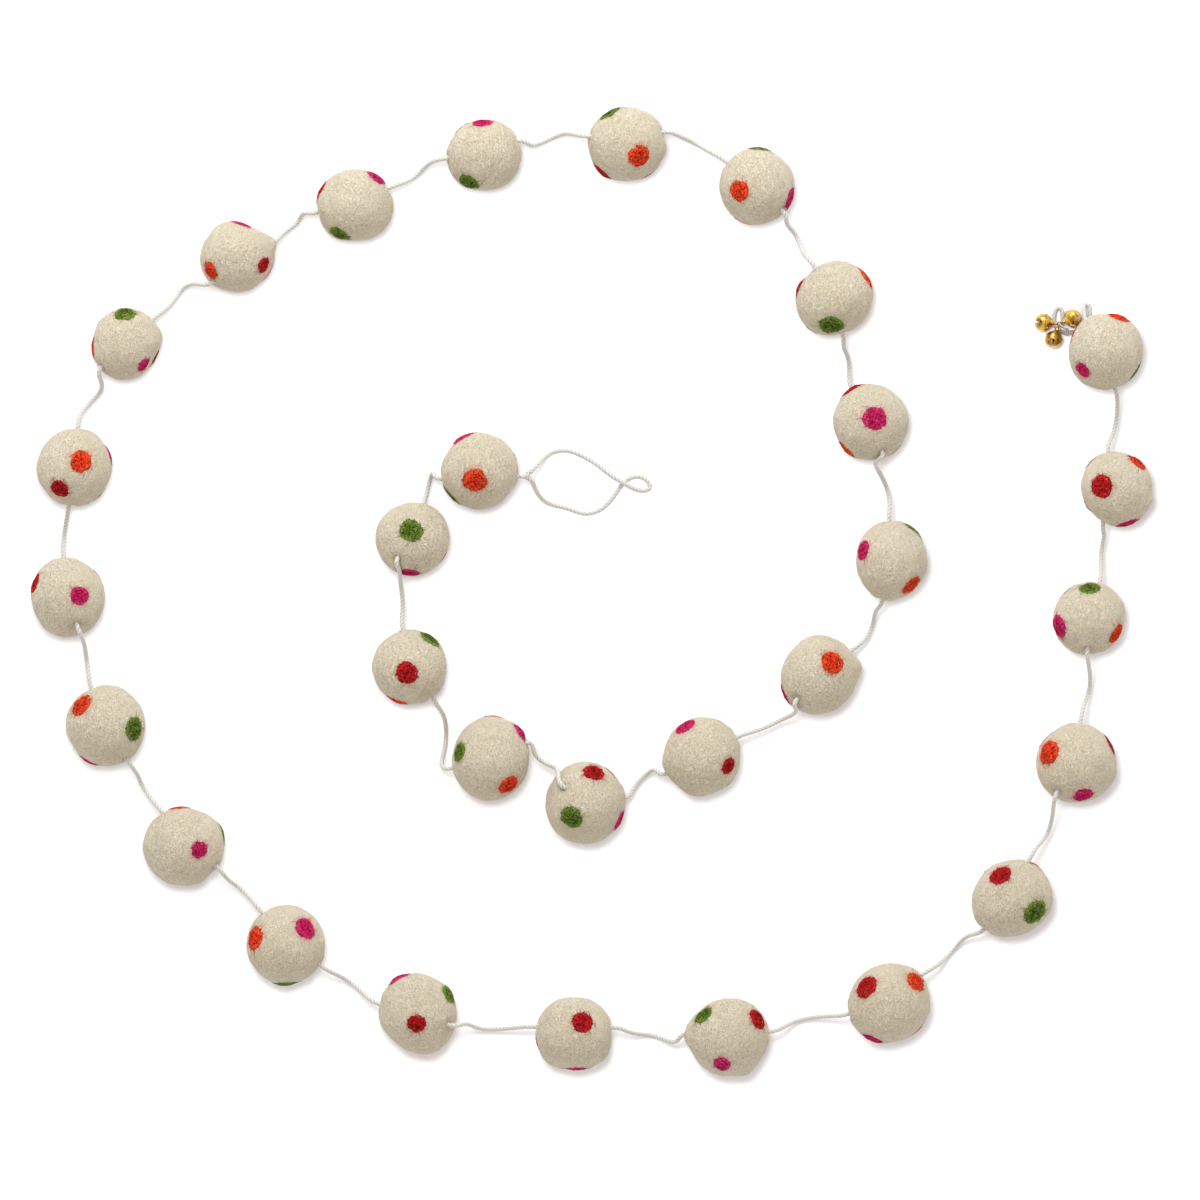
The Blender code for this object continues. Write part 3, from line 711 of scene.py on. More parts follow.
# ---------------------------------------------------------------- the felt balls
class Ball:
    """One felt ball: its place from the frame, its widths and holes from its row."""

    def __init__(self, number, row):
        size = dict(zip(BALL_COLUMNS, row))
        self.number = number
        self.node = f"ball_{number:02d}"
        low, high = (np.array(corner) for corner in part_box(self.node))
        self.turn = math.radians(size["turn"])
        mean = (size["long"] + size["short"]) / 2
        self.half = np.array((size["long"], size["short"], mean * HEIGHT_SHARE)) * MM / 2
        flat_share = FLAT_RADIUS / self.half[:2].mean()
        self.middle = np.array((*(low + high)[:2] / 2, self.half[2] * math.sqrt(1 - flat_share**2)))
        self.mouth_in = self.on_form(direction(size["in_bearing"], size["in_lift"]))
        self.mouth_out = self.on_form(direction(size["out_bearing"], size["out_lift"]))
        self.holes = [unit(mouth - self.middle) for mouth in (self.mouth_in, self.mouth_out)]
        self.axis = unit(self.mouth_out - self.mouth_in)
        self.way_in = unit(OUT_SHARE * self.holes[0] - ALONG_SHARE * self.axis)
        self.way_out = unit(OUT_SHARE * self.holes[1] + ALONG_SHARE * self.axis)
        self.clear_in = self.mouth_in + RUN_OUT * self.way_in
        self.clear_out = self.mouth_out + RUN_OUT * self.way_out
        self.forms = FORMS[number - 1]

    def own_axes(self, vectors):
        """World directions in the ball's own axes, long width first."""
        c, s = math.cos(self.turn), math.sin(self.turn)
        return np.stack((c * vectors[..., 0] + s * vectors[..., 1],
                         c * vectors[..., 1] - s * vectors[..., 0], vectors[..., 2]), -1)

    def on_form(self, way):
        """The point where a ray from the middle leaves the ball's plain form."""
        return self.middle + way / np.linalg.norm(self.own_axes(way) / self.half)

    def width_at(self, way):
        """About how far the felt lies from the middle along way."""
        return np.linalg.norm(self.half * way)

    def pushed_out(self, points, room):
        """Moves points that come nearer to the ball than room straight out to that distance."""
        out = points - self.middle
        depth = np.linalg.norm(self.own_axes(out) / (self.half + room), axis=1)
        return self.middle + out / np.minimum(depth, 1.0)[:, None]

    def bore(self):
        """Points a step apart on the straight way through the ball, from one mouth to the other."""
        steps = max(2, round(np.linalg.norm(self.mouth_out - self.mouth_in) / CORD_STEP))
        return self.mouth_in + np.arange(steps + 1)[:, None] / steps * (self.mouth_out - self.mouth_in)

    def reach(self, ways):
        """Distance from the middle to the felt along unit vectors: the plain form, plus broad and fine
        lumps of noise, plus this ball's own bumps and flats, minus a pucker at each of the cord's holes."""
        plain = 1 / np.linalg.norm(self.own_axes(ways) / self.half, axis=-1)
        seed = 11.3 * self.number
        broad = 0.50 * lumps(ways * 1.7 + seed) + 0.26 * lumps(ways * 3.6 + seed)
        fine = 0.10 * lumps(ways * 9.0 + seed) + 0.055 * lumps(ways * 19.0 + seed)
        out = plain + (broad + fine) * MM
        for bearing, tilt, spread, rise in self.forms:
            apart = angle_between(ways, direction(bearing, 90 - tilt))
            out += rise * MM * np.exp(-(apart / math.radians(spread)) ** 2)
        for hole in self.holes:
            apart = angle_between(ways, hole)
            out -= PUCKER_DEPTH * np.exp(-(apart / PUCKER_SPREAD) ** 2)
            out += 0.25 * PUCKER_DEPTH * np.exp(-((apart - 2.2 * PUCKER_SPREAD) / PUCKER_SPREAD) ** 2)
        return out

    def skin(self, ways, rise=0.0):
        """Points on the felt along unit vectors, lifted by rise, and flat where the ball rests."""
        points = self.middle + ways * (self.reach(ways) + rise)[..., None]
        points[..., 2] = np.maximum(points[..., 2], 0.0)
        return points


def tangent_axes(way):
    """Two unit vectors square to way."""
    side = unit(np.cross(way, (0.3, -0.2, 0.93) if abs(way[2]) < 0.8 else (1.0, 0.1, 0.0)))
    return side, np.cross(way, side)


def leaning(way, angle, tilt):
    """Unit vectors that lean away from way by tilt, towards angle round it: cos tilt along way and
    sin tilt along (cos angle, sin angle) on its tangent axes."""
    u, v = tangent_axes(way)
    around = np.cos(angle)[:, None] * u + np.sin(angle)[:, None] * v
    return np.cos(tilt)[..., None] * way + np.sin(tilt)[..., None] * around


def dot_ways(ball, seen):
    """All the dots of a ball as (colour, unit vector, radius): those seen from above, then others on
    the underside, kept clear of the first, of the flat spot and of the cord's holes."""
    found = [(colour, direction(bearing, 90 - tilt), radius * MM) for colour, bearing, tilt, radius in seen]
    names = (CRIMSON, GREEN, ORANGE, MAGENTA)
    start = rng.uniform(0, 360)
    for turn in range(UNDERSIDE_TRIES):
        way = direction(start + 360 / UNDERSIDE_TRIES * turn, 90 - UNDERSIDE_TILT[turn % 3])
        clear_dots = all(way @ other < math.cos(math.radians(DOT_APART)) for _, other, _ in found)
        clear_holes = all(way @ hole < math.cos(math.radians(HOLE_APART)) for hole in ball.holes)
        if clear_dots and clear_holes:
            found.append((names[(ball.number + turn) % 4], way, UNDERSIDE_RADIUS))
    return found


def fan(hub, first, second):
    """Triangles from the vertex hub to each side of a ring, whose corners are first and second."""
    return np.stack((np.full_like(first, hub), first, second), -1)


def closed_rings(index, start, end):
    """[quads, triangles] over a grid of vertex numbers (ring, side) that is closed round each ring, with
    a fan to the vertex start at its first ring and one to the vertex end at its last."""
    after = np.roll(index, -1, axis=1)
    quads = np.stack((index[:-1], after[:-1], after[1:], index[1:]), -1).reshape(-1, 4)
    return [quads, np.concatenate((fan(start, after[0], index[0]), fan(end, index[-1], after[-1])))]


def dot_patch(ball, way, radius):
    """A raised dot: polar grid (ring, side) about way. Its outline is a circle with ragged waves and
    single pulled-out tufts, its height a low dome with needle pits that dips under the felt at the rim.
    The underside is a cone to a point inside the ball, so that the patch is closed."""
    side_angle = full_turn(DOT_SIDES)
    share = (np.arange(1, DOT_RINGS + 1) / DOT_RINGS)[:, None]
    phase = rng.uniform(0, 2 * math.pi, 4)
    outline = 1 + 0.035 * np.cos(2 * side_angle + phase[0]) + 0.03 * np.cos(3 * side_angle + phase[1])
    outline += 0.02 * np.cos(5 * side_angle + phase[2]) + rng.normal(0, 0.03, DOT_SIDES)
    ways = leaning(way, side_angle, share * outline * radius / ball.width_at(way))
    dome = DOT_RISE * (1 - share**4) - 0.12 * MM * share**8
    pits = 0.16 * MM * lumps(ways * 26 + 7.7 * ball.number) + 0.09 * MM * lumps(ways * 55 + 3.1)
    rise = dome + pits * (1 - share**6)
    top = ball.skin(way[None], np.array([DOT_RISE * 0.9]))
    under = ball.skin(way[None], np.array([-1.4 * MM]))
    points = np.concatenate((top, ball.skin(ways, rise).reshape(-1, 3), under))
    ring = 1 + np.arange(DOT_RINGS * DOT_SIDES).reshape(DOT_RINGS, DOT_SIDES)
    after = np.roll(ring, -1, axis=1)
    quads = np.stack((ring[:-1], ring[1:], after[1:], after[:-1]), -1).reshape(-1, 4)
    triangles = np.concatenate((fan(0, ring[0], after[0]), fan(len(points) - 1, after[-1], ring[-1])))
    rim = np.concatenate(([0.0], np.repeat(share[:, 0], DOT_SIDES), [1.0]))
    return points, quads, triangles, rim


def strands(starts, ends, arches, thickness):
    """Closed three-sided spindles from starts to ends, bowed by arches at their middle: a quadratic curve
    with a ring at each quarter, and thinner towards both tips. Returns (vertices, triangles)."""
    count = len(starts)
    t = np.array((0.0, 0.25, 0.5, 0.75, 1.0))[:, None, None]
    line = starts * (1 - t) + ends * t + arches * (4 * t * (1 - t))
    along = ends - starts
    side = np.cross(along, (0.31, 0.52, 0.79))
    side /= np.linalg.norm(side, axis=1)[:, None] + 1e-12
    up = np.cross(along / (np.linalg.norm(along, axis=1)[:, None] + 1e-12), side)
    vertices = np.empty((count, 11, 3))
    vertices[:, 0] = line[0]
    vertices[:, 10] = line[4]
    for ring, width in ((1, 0.8), (2, 1.0), (3, 0.7)):
        for corner in range(3):
            angle = corner * 2 * math.pi / 3
            offset = math.cos(angle) * side + math.sin(angle) * up
            vertices[:, 3 * ring - 2 + corner] = line[ring] + offset * (width * thickness)[:, None]
    tips = [(0, 2, 1), (0, 3, 2), (0, 1, 3), (10, 7, 8), (10, 8, 9), (10, 9, 7)]
    sides = ((0, 1), (1, 2), (2, 0))
    bands = [(low + a, low + b, low + 3 + b, low + 3 + a) for low in (1, 4) for a, b in sides]
    split = [triangle for a, b, c, d in bands for triangle in ((a, b, c), (a, c, d))]
    pattern = np.array(tips + split)
    return vertices.reshape(-1, 3), (pattern[None] + 11 * np.arange(count)[:, None, None]).reshape(-1, 3)


def wisps(ball, way, radius, count, reach, thickness):
    """Coloured fibres that the needle drew out of a dot: each starts inside the rim, and lies outwards
    and round on the felt by about reach times the radius. Returns (vertices, triangles)."""
    turn = rng.uniform(0, 2 * math.pi, count)
    lean = turn + rng.normal(0, 0.30, count)
    start_reach = radius * rng.uniform(0.74, 0.97, count)
    end_reach = radius * (1.0 + np.abs(rng.normal(0, reach, count)))

    def at(reach, angle, rise):
        return ball.skin(leaning(way, angle, reach / ball.width_at(way)), rise)

    starts = at(start_reach, turn, np.full(count, 0.15 * MM))
    ends = at(end_reach, lean, rng.uniform(-0.15, 0.20, count) * MM)
    middle = at((start_reach + end_reach) / 2, (turn + lean) / 2, rng.uniform(0.08, 0.28, count) * MM)
    return strands(starts, ends, middle - (starts + ends) / 2, rng.uniform(0.6, 1.2, count) * thickness)


def hairs(ball, count):
    """Loose cream fibres all over a ball: each leaves the felt at a low angle, arches and comes back
    near it. Returns (vertices, triangles)."""
    ways = units(rng.normal(size=(count, 3)))
    ways = ways[ways[:, 2] > -0.75]
    shift = rng.normal(size=ways.shape)
    shift = units(shift - ways * np.sum(shift * ways, axis=1)[:, None])
    far = units(ways + rng.uniform(0.05, 0.17, len(ways))[:, None] * shift)
    starts = ball.skin(ways, np.full(len(ways), -0.10 * MM))
    ends = ball.skin(far, rng.uniform(-0.1, 0.5, len(ways)) * MM)
    arches = ways * (rng.uniform(0.15, 0.65, len(ways)) * MM)[:, None]
    arches += np.cross(ways, shift) * (rng.normal(0, 0.35, len(ways)) * MM)[:, None]
    return strands(starts, ends, arches, rng.uniform(0.022, 0.045, len(ways)) * MM)


def dot_fuzz(ball, ways, dots):
    """Colour and strength of the tint at unit vectors: round a dot it is strongest at the rim, fades to
    nothing about half a radius outside it, and is uneven by noise; round each of the cord's holes it is
    brown."""
    colour = np.ones((len(ways), 3)) * CREAM_LIGHT
    strength = np.zeros(len(ways))
    for name, way, radius in dots:
        apart = angle_between(ways, way) / (radius / MEAN_RADIUS)
        wave = 1 + 0.35 * lumps(ways * 14 + 5.0)
        here = np.clip((1.42 * wave - apart) / 0.5, 0, 1) ** 1.5 * 0.5
        colour = np.where((here > strength)[:, None], COLOURS[name][1], colour)
        strength = np.maximum(strength, here)
    for hole in ball.holes:
        here = 0.75 * np.exp(-(angle_between(ways, hole) / PUCKER_SPREAD) ** 2)
        colour = np.where((here > strength)[:, None], HOLE_BROWN, colour)
        strength = np.maximum(strength, here)
    return np.column_stack((colour, strength))


def joined(parts, *columns):
    """(all the vertices, a list of faces for each column) of parts that hold their vertices first and
    faces in the given columns. Each part's faces count on from the part before."""
    shift = np.cumsum([0] + [len(part[0]) for part in parts[:-1]])
    faces = [np.concatenate([part[column] + by for part, by in zip(parts, shift)]) for column in columns]
    return np.concatenate([part[0] for part in parts]), faces


def build_balls(balls, cream, dyed, hair):
    """The felt of each ball as a piece of its own, then the dots of each colour with their tufts and
    wisps, and the loose hairs, each as one piece for the whole garland."""
    ways, quads = cube_sphere(CUBE_CELLS)
    dyed_parts = {name: [] for name in COLOURS}
    hair_parts = []
    for ball, seen in zip(balls, DOTS):
        dots = dot_ways(ball, seen)
        tint = dot_fuzz(ball, ways, dots)
        felt = add_mesh(f"felt_{ball.number:02d}", ball.skin(ways), quads, cream,
                        [("dot_fuzz", "FLOAT_COLOR", tint)])
        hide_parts(ball.node)
        for name, way, radius in dots:
            dyed_parts[name].append(dot_patch(ball, way, RIM_OVERLAP * radius))
            for count, reach, thickness in FIBRES:
                points, triangles = wisps(ball, way, radius, count, reach, thickness)
                rim = np.full(len(points), FIBRE_RIM)
                dyed_parts[name].append((points, np.empty((0, 4), int), triangles, rim))
        hair_parts.append(hairs(ball, HAIRS_PER_BALL))
    for name, parts in dyed_parts.items():
        vertices, faces = joined(parts, 1, 2)
        rim = np.concatenate([part[3] for part in parts])
        add_mesh(f"dots_{name}", vertices, faces, dyed[name], [("rim", "FLOAT", rim)])
    vertices, faces = joined(hair_parts, 1)
    add_mesh("stray_hairs", vertices, faces, hair)


# ---------------------------------------------------------------- bells
BELL_RADIUS = 4.7 * MM
BELL_WALL = 0.4 * MM
BELL_DROP = 8.2 * MM  # from the eye to the body's middle
CAP_RADIUS = BELL_RADIUS - 0.35 * MM
HOLLOW_RADIUS = CAP_RADIUS - BELL_WALL
EYE_MIDDLE = 1.05 * MM
EYE_WIRE = 0.34 * MM
NECK_TOP = 0.5 * MM
BELL_COLUMNS = ("bearing", "eye_height")  # seen from the tie in degrees, and in millimetres
BELLS = ((250, 4.9), (174, 6.5), (23, 8.5))
BELL_SIDES = 72
CLAPPER_RADIUS = 1.5 * MM
SLOT_WIDTH = 0.95 * MM
SLOT_END_RADIUS = 0.72 * MM


def turned(profile, sides):
    """(vertices, [quads, triangles]) of a profile of (radius, height) points carried round Z. Its first
    and last points lie on the axis and are one vertex each, with a fan of triangles to the next ring.
    With the profile going up on the outside, faces point outwards."""
    radius, height = np.array(profile[1:-1]).T
    angle = full_turn(sides)
    rings = np.stack((radius[:, None] * np.cos(angle), radius[:, None] * np.sin(angle),
                      height[:, None] + 0 * angle), -1).reshape(-1, 3)
    vertices = np.vstack(((0, 0, profile[0][1]), rings, (0, 0, profile[-1][1])))
    return vertices, closed_rings(1 + np.arange(len(rings)).reshape(-1, sides), 0, len(rings) + 1)


def bell_outline():
    """(radius, height) of the outside from the neck's end to the foot, with height growing towards the
    foot and 0 at the body's middle: a trumpet-shaped neck, a low domed cap, a crimped seam a third of
    the way down and a round body, slightly flattened at the foot."""
    neck_end = -(BELL_DROP - EYE_MIDDLE + 0.1 * MM)
    cap_angle = math.radians(28)
    neck_foot = -CAP_RADIUS * math.cos(cap_angle)
    t = np.linspace(0, 1, 12)
    neck = np.column_stack((NECK_TOP + (CAP_RADIUS * math.sin(cap_angle) - NECK_TOP) * t**2.6,
                            neck_end + (neck_foot - neck_end) * t))
    cap = np.linspace(cap_angle + 0.05, math.radians(66), 10)
    seam = np.radians((67, 68, 70, 73, 76, 78, 79))
    seam_rise = np.array((0.02, 0.20, 0.30, 0.34, 0.28, 0.15, 0.02)) * MM
    body = np.linspace(math.radians(80), math.pi - 0.06, 30)
    angles = np.concatenate((cap, seam, body))
    flat = 1 - 0.045 * np.clip((angles - 2.2) / 0.9, 0, 1) ** 2
    reach = np.concatenate((np.full(len(cap), CAP_RADIUS), CAP_RADIUS + 0.05 * MM + seam_rise,
                            np.full(len(body), BELL_RADIUS - 0.25 * MM)))
    round_part = np.column_stack((reach * np.sin(angles), -reach * flat * np.cos(angles)))
    return np.vstack(((0, neck_end), neck, round_part, (0, round_part[-1, 1])))


def bell_cavity():
    """The inside of the shell, as a round hollow."""
    a = np.linspace(0, math.pi, 26)
    return np.column_stack((HOLLOW_RADIUS * np.sin(a), -HOLLOW_RADIUS * np.cos(a)))


def slot_cutter(turn):
    """One slot through the foot and up both sides of the body: a flat tongue with a round hole at each
    end. Its outline in the slot's plane is carried across the slot's width."""
    half, reach = SLOT_WIDTH / 2, BELL_RADIUS + 1 * MM
    level = 0.12 * BELL_RADIUS
    box = np.array([(x, y, z) for x in (-reach, reach) for y in (-half, half) for z in (level, reach)])
    faces = np.array(((0, 1, 3, 2), (4, 6, 7, 5), (0, 4, 5, 1), (2, 3, 7, 6), (0, 2, 6, 4), (1, 5, 7, 3)))
    end = SLOT_END_RADIUS
    rod, rod_faces = turned([(0, -reach), (end, -reach), (end, reach), (0, reach)], 20)
    rod = np.stack((rod[:, 2], rod[:, 0], rod[:, 1] + level), -1)
    c, s = math.cos(turn), math.sin(turn)
    spin = np.array(((c, s, 0), (-s, c, 0), (0, 0, 1)))
    return (box @ spin, faces), (rod @ spin, rod_faces)


def plain_object(name, vertices, faces):
    """A helper without a material, for Booleans."""
    groups = faces if isinstance(faces, list) else [faces]
    mesh = bpy.data.meshes.new(name)
    mesh.from_pydata(vertices.tolist(), [], [face for group in groups for face in group.tolist()])
    made = bpy.data.objects.new(name, mesh)
    bpy.context.scene.collection.objects.link(made)
    return made


def cut(target, cutters):
    """Cuts each (vertices, faces) from target with a Boolean, and applies it."""
    helpers = [plain_object(f"cutter_{number}", *shape) for number, shape in enumerate(cutters)]
    for helper in helpers:
        modifier = target.modifiers.new(helper.name, "BOOLEAN")
        modifier.operation = "DIFFERENCE"
        modifier.solver = "EXACT"
        modifier.object = helper
    graph = bpy.context.evaluated_depsgraph_get()
    target.data = bpy.data.meshes.new_from_object(target.evaluated_get(graph))
    target.modifiers.clear()
    for helper in helpers:
        bpy.data.objects.remove(helper, do_unlink=True)


def eye_ring(place):
    """A wire ring that lies level round place: (R + r cos b)(cos a, sin a) and r sin b."""
    around, sides = 28, 12
    a, b = np.meshgrid(full_turn(around), full_turn(sides), indexing="ij")
    wide = EYE_MIDDLE + EYE_WIRE * np.cos(b)
    points = np.stack((wide * np.cos(a), wide * np.sin(a), EYE_WIRE * np.sin(b)), -1).reshape(-1, 3) + place
    index = np.arange(around * sides).reshape(around, sides)
    over, round_ = np.roll(index, -1, axis=0), np.roll(index, -1, axis=1)
    quads = np.stack((index, over, np.roll(over, -1, axis=1), round_), -1).reshape(-1, 4)
    return points, quads


def slotted_shell():
    """(points, triangles, inside) of a bell's hollow body and neck about its middle, with its foot
    towards +Z. Two crossed slots are cut from it, and inside is 1 on the cavity's wall, which the gold
    material paints dark as shade."""
    outside, outside_faces = turned(bell_outline(), BELL_SIDES)
    cavity, cavity_faces = turned(bell_cavity(), BELL_SIDES)
    faces = outside_faces + [group[:, ::-1] + len(outside) for group in cavity_faces]
    shell = plain_object("shell", np.concatenate((outside, cavity)), faces)
    cut(shell, [shape for turn in (0, math.pi / 2) for shape in slot_cutter(turn)])
    mesh = shell.data
    points = np.empty(3 * len(mesh.vertices), np.float32)
    mesh.vertices.foreach_get("co", points)
    mesh.calc_loop_triangles()
    triangles = np.empty(3 * len(mesh.loop_triangles), np.int32)
    mesh.loop_triangles.foreach_get("vertices", triangles)
    bpy.data.objects.remove(shell, do_unlink=True)
    points = points.reshape(-1, 3)
    inside = np.linalg.norm(points, axis=1) < HOLLOW_RADIUS + 0.1 * MM
    return points, triangles.reshape(-1, 3), inside.astype(float)


def build_bells(gold, steel):
    """Three bells that hang from their stacked eyes and lie on the surface, each with its clapper at the
    bottom of the cavity."""
    made = []
    ways, ball_quads = cube_sphere(8)
    shell, triangles, inside = slotted_shell()
    for number, row in enumerate(BELLS, 1):
        bell = dict(zip(BELL_COLUMNS, row))
        eye = np.array((*TIE_PLACE, bell["eye_height"] * MM))
        dip = -math.degrees(math.asin((eye[2] - BELL_RADIUS - 0.1 * MM) / BELL_DROP))
        way = direction(bell["bearing"], dip)
        middle = eye + BELL_DROP * way
        turn = np.array(Vector(way).to_track_quat("Z", "Y").to_matrix())
        ring, ring_quads = eye_ring(eye)
        body = add_mesh(f"jingle_bell_{number}", np.concatenate((shell @ turn.T + middle, ring)),
                        [triangles, ring_quads + len(shell)], gold,
                        [("inside", "FLOAT", np.concatenate((inside, np.zeros(len(ring)))))])
        body.data.set_sharp_from_angle(angle=math.radians(40))
        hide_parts(f"bell_{number}")
        fall = BELL_RADIUS - BELL_WALL - CLAPPER_RADIUS - 0.35 * MM
        rest = middle - np.array((0, 0, fall)) + 0.6 * MM * way
        clapper_points = rest + CLAPPER_RADIUS * ways
        made += [body, add_mesh(f"clapper_{number}", clapper_points, ball_quads, steel)]
    return made


# ---------------------------------------------------------------- cord, knots and thread
def smooth_curve(points, start_way, end_way, step):
    """Points about a step apart on a smooth curve (cubic Hermite) through all the given points,
    leaving along start_way and arriving along end_way."""
    points = np.asarray(points, float)
    spans = np.linalg.norm(np.diff(points, axis=0), axis=1)
    slopes = np.diff(points, axis=0) / spans[:, None]
    share = (spans[1:] / (spans[1:] + spans[:-1]))[:, None]
    ways = np.vstack((start_way, share * slopes[:-1] + (1 - share) * slopes[1:], end_way))
    pieces = []
    for first, last, way, next_way, span in zip(points, points[1:], ways, ways[1:], spans):
        t = np.arange(0, 1, 1 / max(1, round(span / step)))[:, None]
        pieces.append((2 * t**3 - 3 * t**2 + 1) * first + (3 * t**2 - 2 * t**3) * last
                      + ((t**3 - 2 * t**2 + t) * way + (t**3 - t**2) * next_way) * span)
    return np.vstack((*pieces, points[-1:]))


def travelled(points):
    """Distance along the run to each point."""
    return np.concatenate(([0], np.cumsum(np.linalg.norm(np.diff(points, axis=0), axis=1))))


def spaced(points, step):
    """The same run with points an even step apart."""
    reach = travelled(points)
    wanted = np.linspace(0, reach[-1], int(reach[-1] / step) + 1)
    return np.stack([np.interp(wanted, reach, points[:, k]) for k in range(3)], 1)


def path_length(points):
    """Length of the run in metres."""
    return float(np.linalg.norm(np.diff(points, axis=0), axis=1).sum())


def softened(points):
    """Moves each point but the ends to half itself and a quarter of each neighbour."""
    points[1:-1] = (points[:-2] + 2 * points[1:-1] + points[2:]) / 4
    return points


def run_between(ball, after, bends):
    """The free cord from one ball to the next. It follows the bends in plan, and sags in one soft wave
    until it lies on the surface or reaches its tightest bend."""
    flat = [(x * MM, y * MM, 0.0) for x, y in bends]
    route = np.array([ball.clear_out, *flat, after.clear_in])
    reach = travelled(route[:, :2])
    share = reach / reach[-1]
    level = route[0, 2] + (route[-1, 2] - route[0, 2]) * share
    sag = min(level.mean() - TABLE, reach[-1] ** 2 / (2 * math.pi**2 * LEAST_BEND))
    route[:, 2] = np.maximum(level - sag * np.sin(math.pi * share) ** 2, TABLE)
    fine = smooth_curve(route, ball.way_out, -after.way_in, CORD_STEP / 8)
    for _ in range(6):
        for near in (ball, after):
            fine[1:-1] = near.pushed_out(fine[1:-1], CORD_RADIUS + 2 * GAP)
        fine = on_table(softened(fine))
    return spaced(fine, CORD_STEP)


def metres(route):
    """Millimetre rows as points in metres."""
    return [np.array(point) * MM for point in route]


def on_table(points):
    """The same points, none lower than a cord that lies on the surface."""
    points[:, 2] = np.maximum(points[:, 2], TABLE)
    return points


def cord_route(balls):
    """The whole cord, and the places and ways of its two knots. It is strung hole by hole, then softened:
    a little in the hanging loop and beside the bells, where it bends tightly, and more in between."""
    first, last = balls[0], balls[-1]
    loop_knot = first.mouth_in - LOOP_KNOT_OUT * first.axis
    low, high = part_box("end_knot")
    end_knot = np.array((low + high) / 2)
    leaves, returns = direction(LOOP_LEAVES), direction(LOOP_RETURNS)
    start = loop_knot + (KNOT_RADIUS - LOOP_SUNK) * leaves
    back = loop_knot - KNOT_RADIUS * returns
    runs = [smooth_curve([start, *metres(LOOP_ROUTE), back], leaves, returns, LOOP_STEP)]
    for ball, after, bends in zip(balls, balls[1:], BENDS):
        runs += [ball.bore(), run_between(ball, after, bends)]
    runs.append(last.bore())
    knot_way, tip_way = direction(*END_KNOT_WAY), direction(HAIRPIN_END)
    into = end_knot - (KNOT_RADIUS + 2 * GAP) * knot_way
    out_of = end_knot + (KNOT_RADIUS + 2 * GAP) * knot_way
    tail = [last.clear_out, *metres(TAIL_ROUTE), into]
    runs.append(smooth_curve(tail, last.way_out, knot_way, TURN_STEP))
    runs.append(smooth_curve([out_of, *metres(HAIRPIN_ROUTE)], knot_way, tip_way, TURN_STEP))
    loop_reach = path_length(runs[0])
    tail_reach = path_length(np.vstack(runs[-2:])) + TAIL_SPARE
    points = on_table(np.vstack(runs))
    line = spaced(smooth_curve(points, leaves, tip_way, CORD_RING_STEP), CORD_RING_STEP)
    strung = slice(int(loop_reach / CORD_RING_STEP), -int(tail_reach / CORD_RING_STEP))
    for part, passes in ((slice(None), 8), (strung, 40)):
        for _ in range(passes):
            softened(line[part])
    line = on_table(spaced(line, CORD_RING_STEP))
    return line, loop_knot, end_knot, knot_way


def twisted_tube(line, radius, sides, plies, pitch, hollow=0.17):
    """A tube along line whose section turns by one full turn each pitch: radius times
    (1 - hollow + hollow * |cos(plies / 2 * angle)|), so that it shows as plies laid round each other.
    The frame is carried along the line without spin. Returns (vertices, faces, ply)."""
    along = units(np.gradient(line, axis=0))
    side = np.empty_like(line)
    side[0] = np.cross(along[0], (0.1, 0.2, 1.0))
    for ring in range(1, len(line)):
        side[ring] = side[ring - 1] - along[ring] * (side[ring - 1] @ along[ring])
        side[ring] /= math.sqrt(side[ring] @ side[ring])
    side[0] = unit(side[0])
    up = np.cross(along, side)
    angle = full_turn(sides)
    turn = 2 * math.pi * travelled(line)[:, None] / pitch
    ply = np.abs(np.cos(plies / 2 * (angle[None] - turn)))
    wide = radius * (1 - hollow + hollow * ply)
    across = np.cos(angle)[:, None] * side[:, None] + np.sin(angle)[:, None] * up[:, None]
    rings = line[:, None] + wide[..., None] * across
    vertices = np.concatenate((rings.reshape(-1, 3), line[:1], line[-1:]))
    tips = len(line) * sides
    faces = closed_rings(np.arange(tips).reshape(-1, sides), tips, tips + 1)
    return vertices, faces, np.concatenate((ply.ravel(), (1.0, 1.0)))


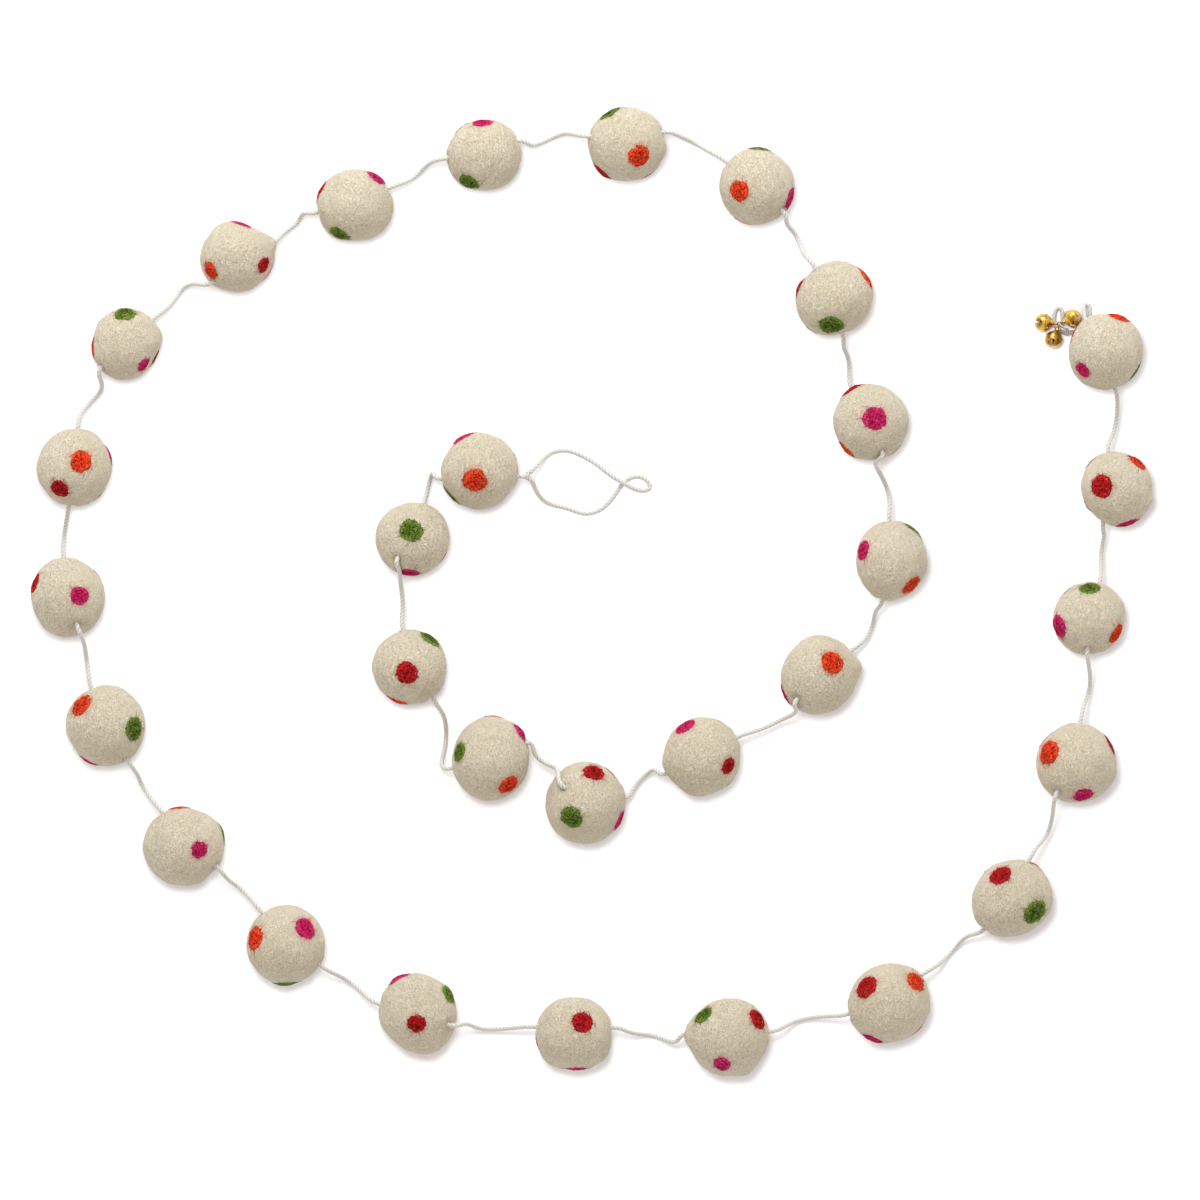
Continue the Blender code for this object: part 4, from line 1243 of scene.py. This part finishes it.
def knot_line(place, way, radius, strand):
    """A trefoil wound twice round the standing cord: at angle 2a it stands spread (2.2 + 0.8 cos 3a) off
    the cord in the plane square to way, and 1.15 spread sin 3a along it."""
    u, v = tangent_axes(way)
    a = np.linspace(0, 2 * math.pi, 120)
    spread = (radius - strand) / 3
    wide = spread * (2.2 + 0.8 * np.cos(3 * a))
    return (place + (wide * np.cos(2 * a))[:, None] * u + (wide * np.sin(2 * a))[:, None] * v
            + (1.15 * spread * np.sin(3 * a))[:, None] * way)


def build_cords(balls, yarn):
    """The cord and its two knots."""
    line, loop_knot, end_knot, knot_way = cord_route(balls)
    vertices, faces, ply = twisted_tube(line, YARN_RADIUS, CORD_SIDES, CORD_PLIES, CORD_PITCH)
    cord = add_mesh("twisted_cord", vertices, faces, yarn, [("ply", "FLOAT", ply)])
    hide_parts("cord")
    for name, place, way in (("loop_knot", loop_knot, balls[0].axis), ("end_knot", end_knot, knot_way)):
        turns = knot_line(place, way, KNOT_RADIUS, KNOT_STRAND)
        points, knot_faces, knot_ply = twisted_tube(turns, DRAWN_YARN, KNOT_SIDES, CORD_PLIES, CORD_PITCH)
        points[:, 2] = np.maximum(points[:, 2], 0.0)
        knot = add_mesh(f"tied_{name}", points, knot_faces, yarn, [("ply", "FLOAT", knot_ply)])
        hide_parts(name)


def build_thread(yarn):
    """The thin thread from the knot under the bells' stacked eyes, up through them and back over. It is
    17 mm long, too short to be a cord of its own."""
    x, y = TIE_PLACE
    route = [np.array((x + a * MM, y + b * MM, c * MM)) for a, b, c in THREAD_ROUTE]
    line = smooth_curve(route, np.array((-0.6, 0.6, -0.5)), np.array((0.3, -0.3, -0.9)), THREAD_RADIUS)
    vertices, faces, ply = twisted_tube(line, THREAD_RADIUS, sides=8, plies=2, pitch=THREAD_PITCH)
    thread = add_mesh("tie_thread", vertices, faces, yarn, [("ply", "FLOAT", ply)])
    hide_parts("bell_tie")
    return thread


# ---------------------------------------------------------------- everything together
make_camera()
make_lights(make_floor())
garland = [Ball(number, row) for number, row in enumerate(BALLS, 1)]
yarn = cord_yarn()
hung = [build_thread(yarn), *build_bells(gold_metal(), clapper_metal())]
build_cords(garland, yarn)
build_balls(garland, cream_felt(), {name: dot_felt(name) for name in COLOURS}, hair_felt())
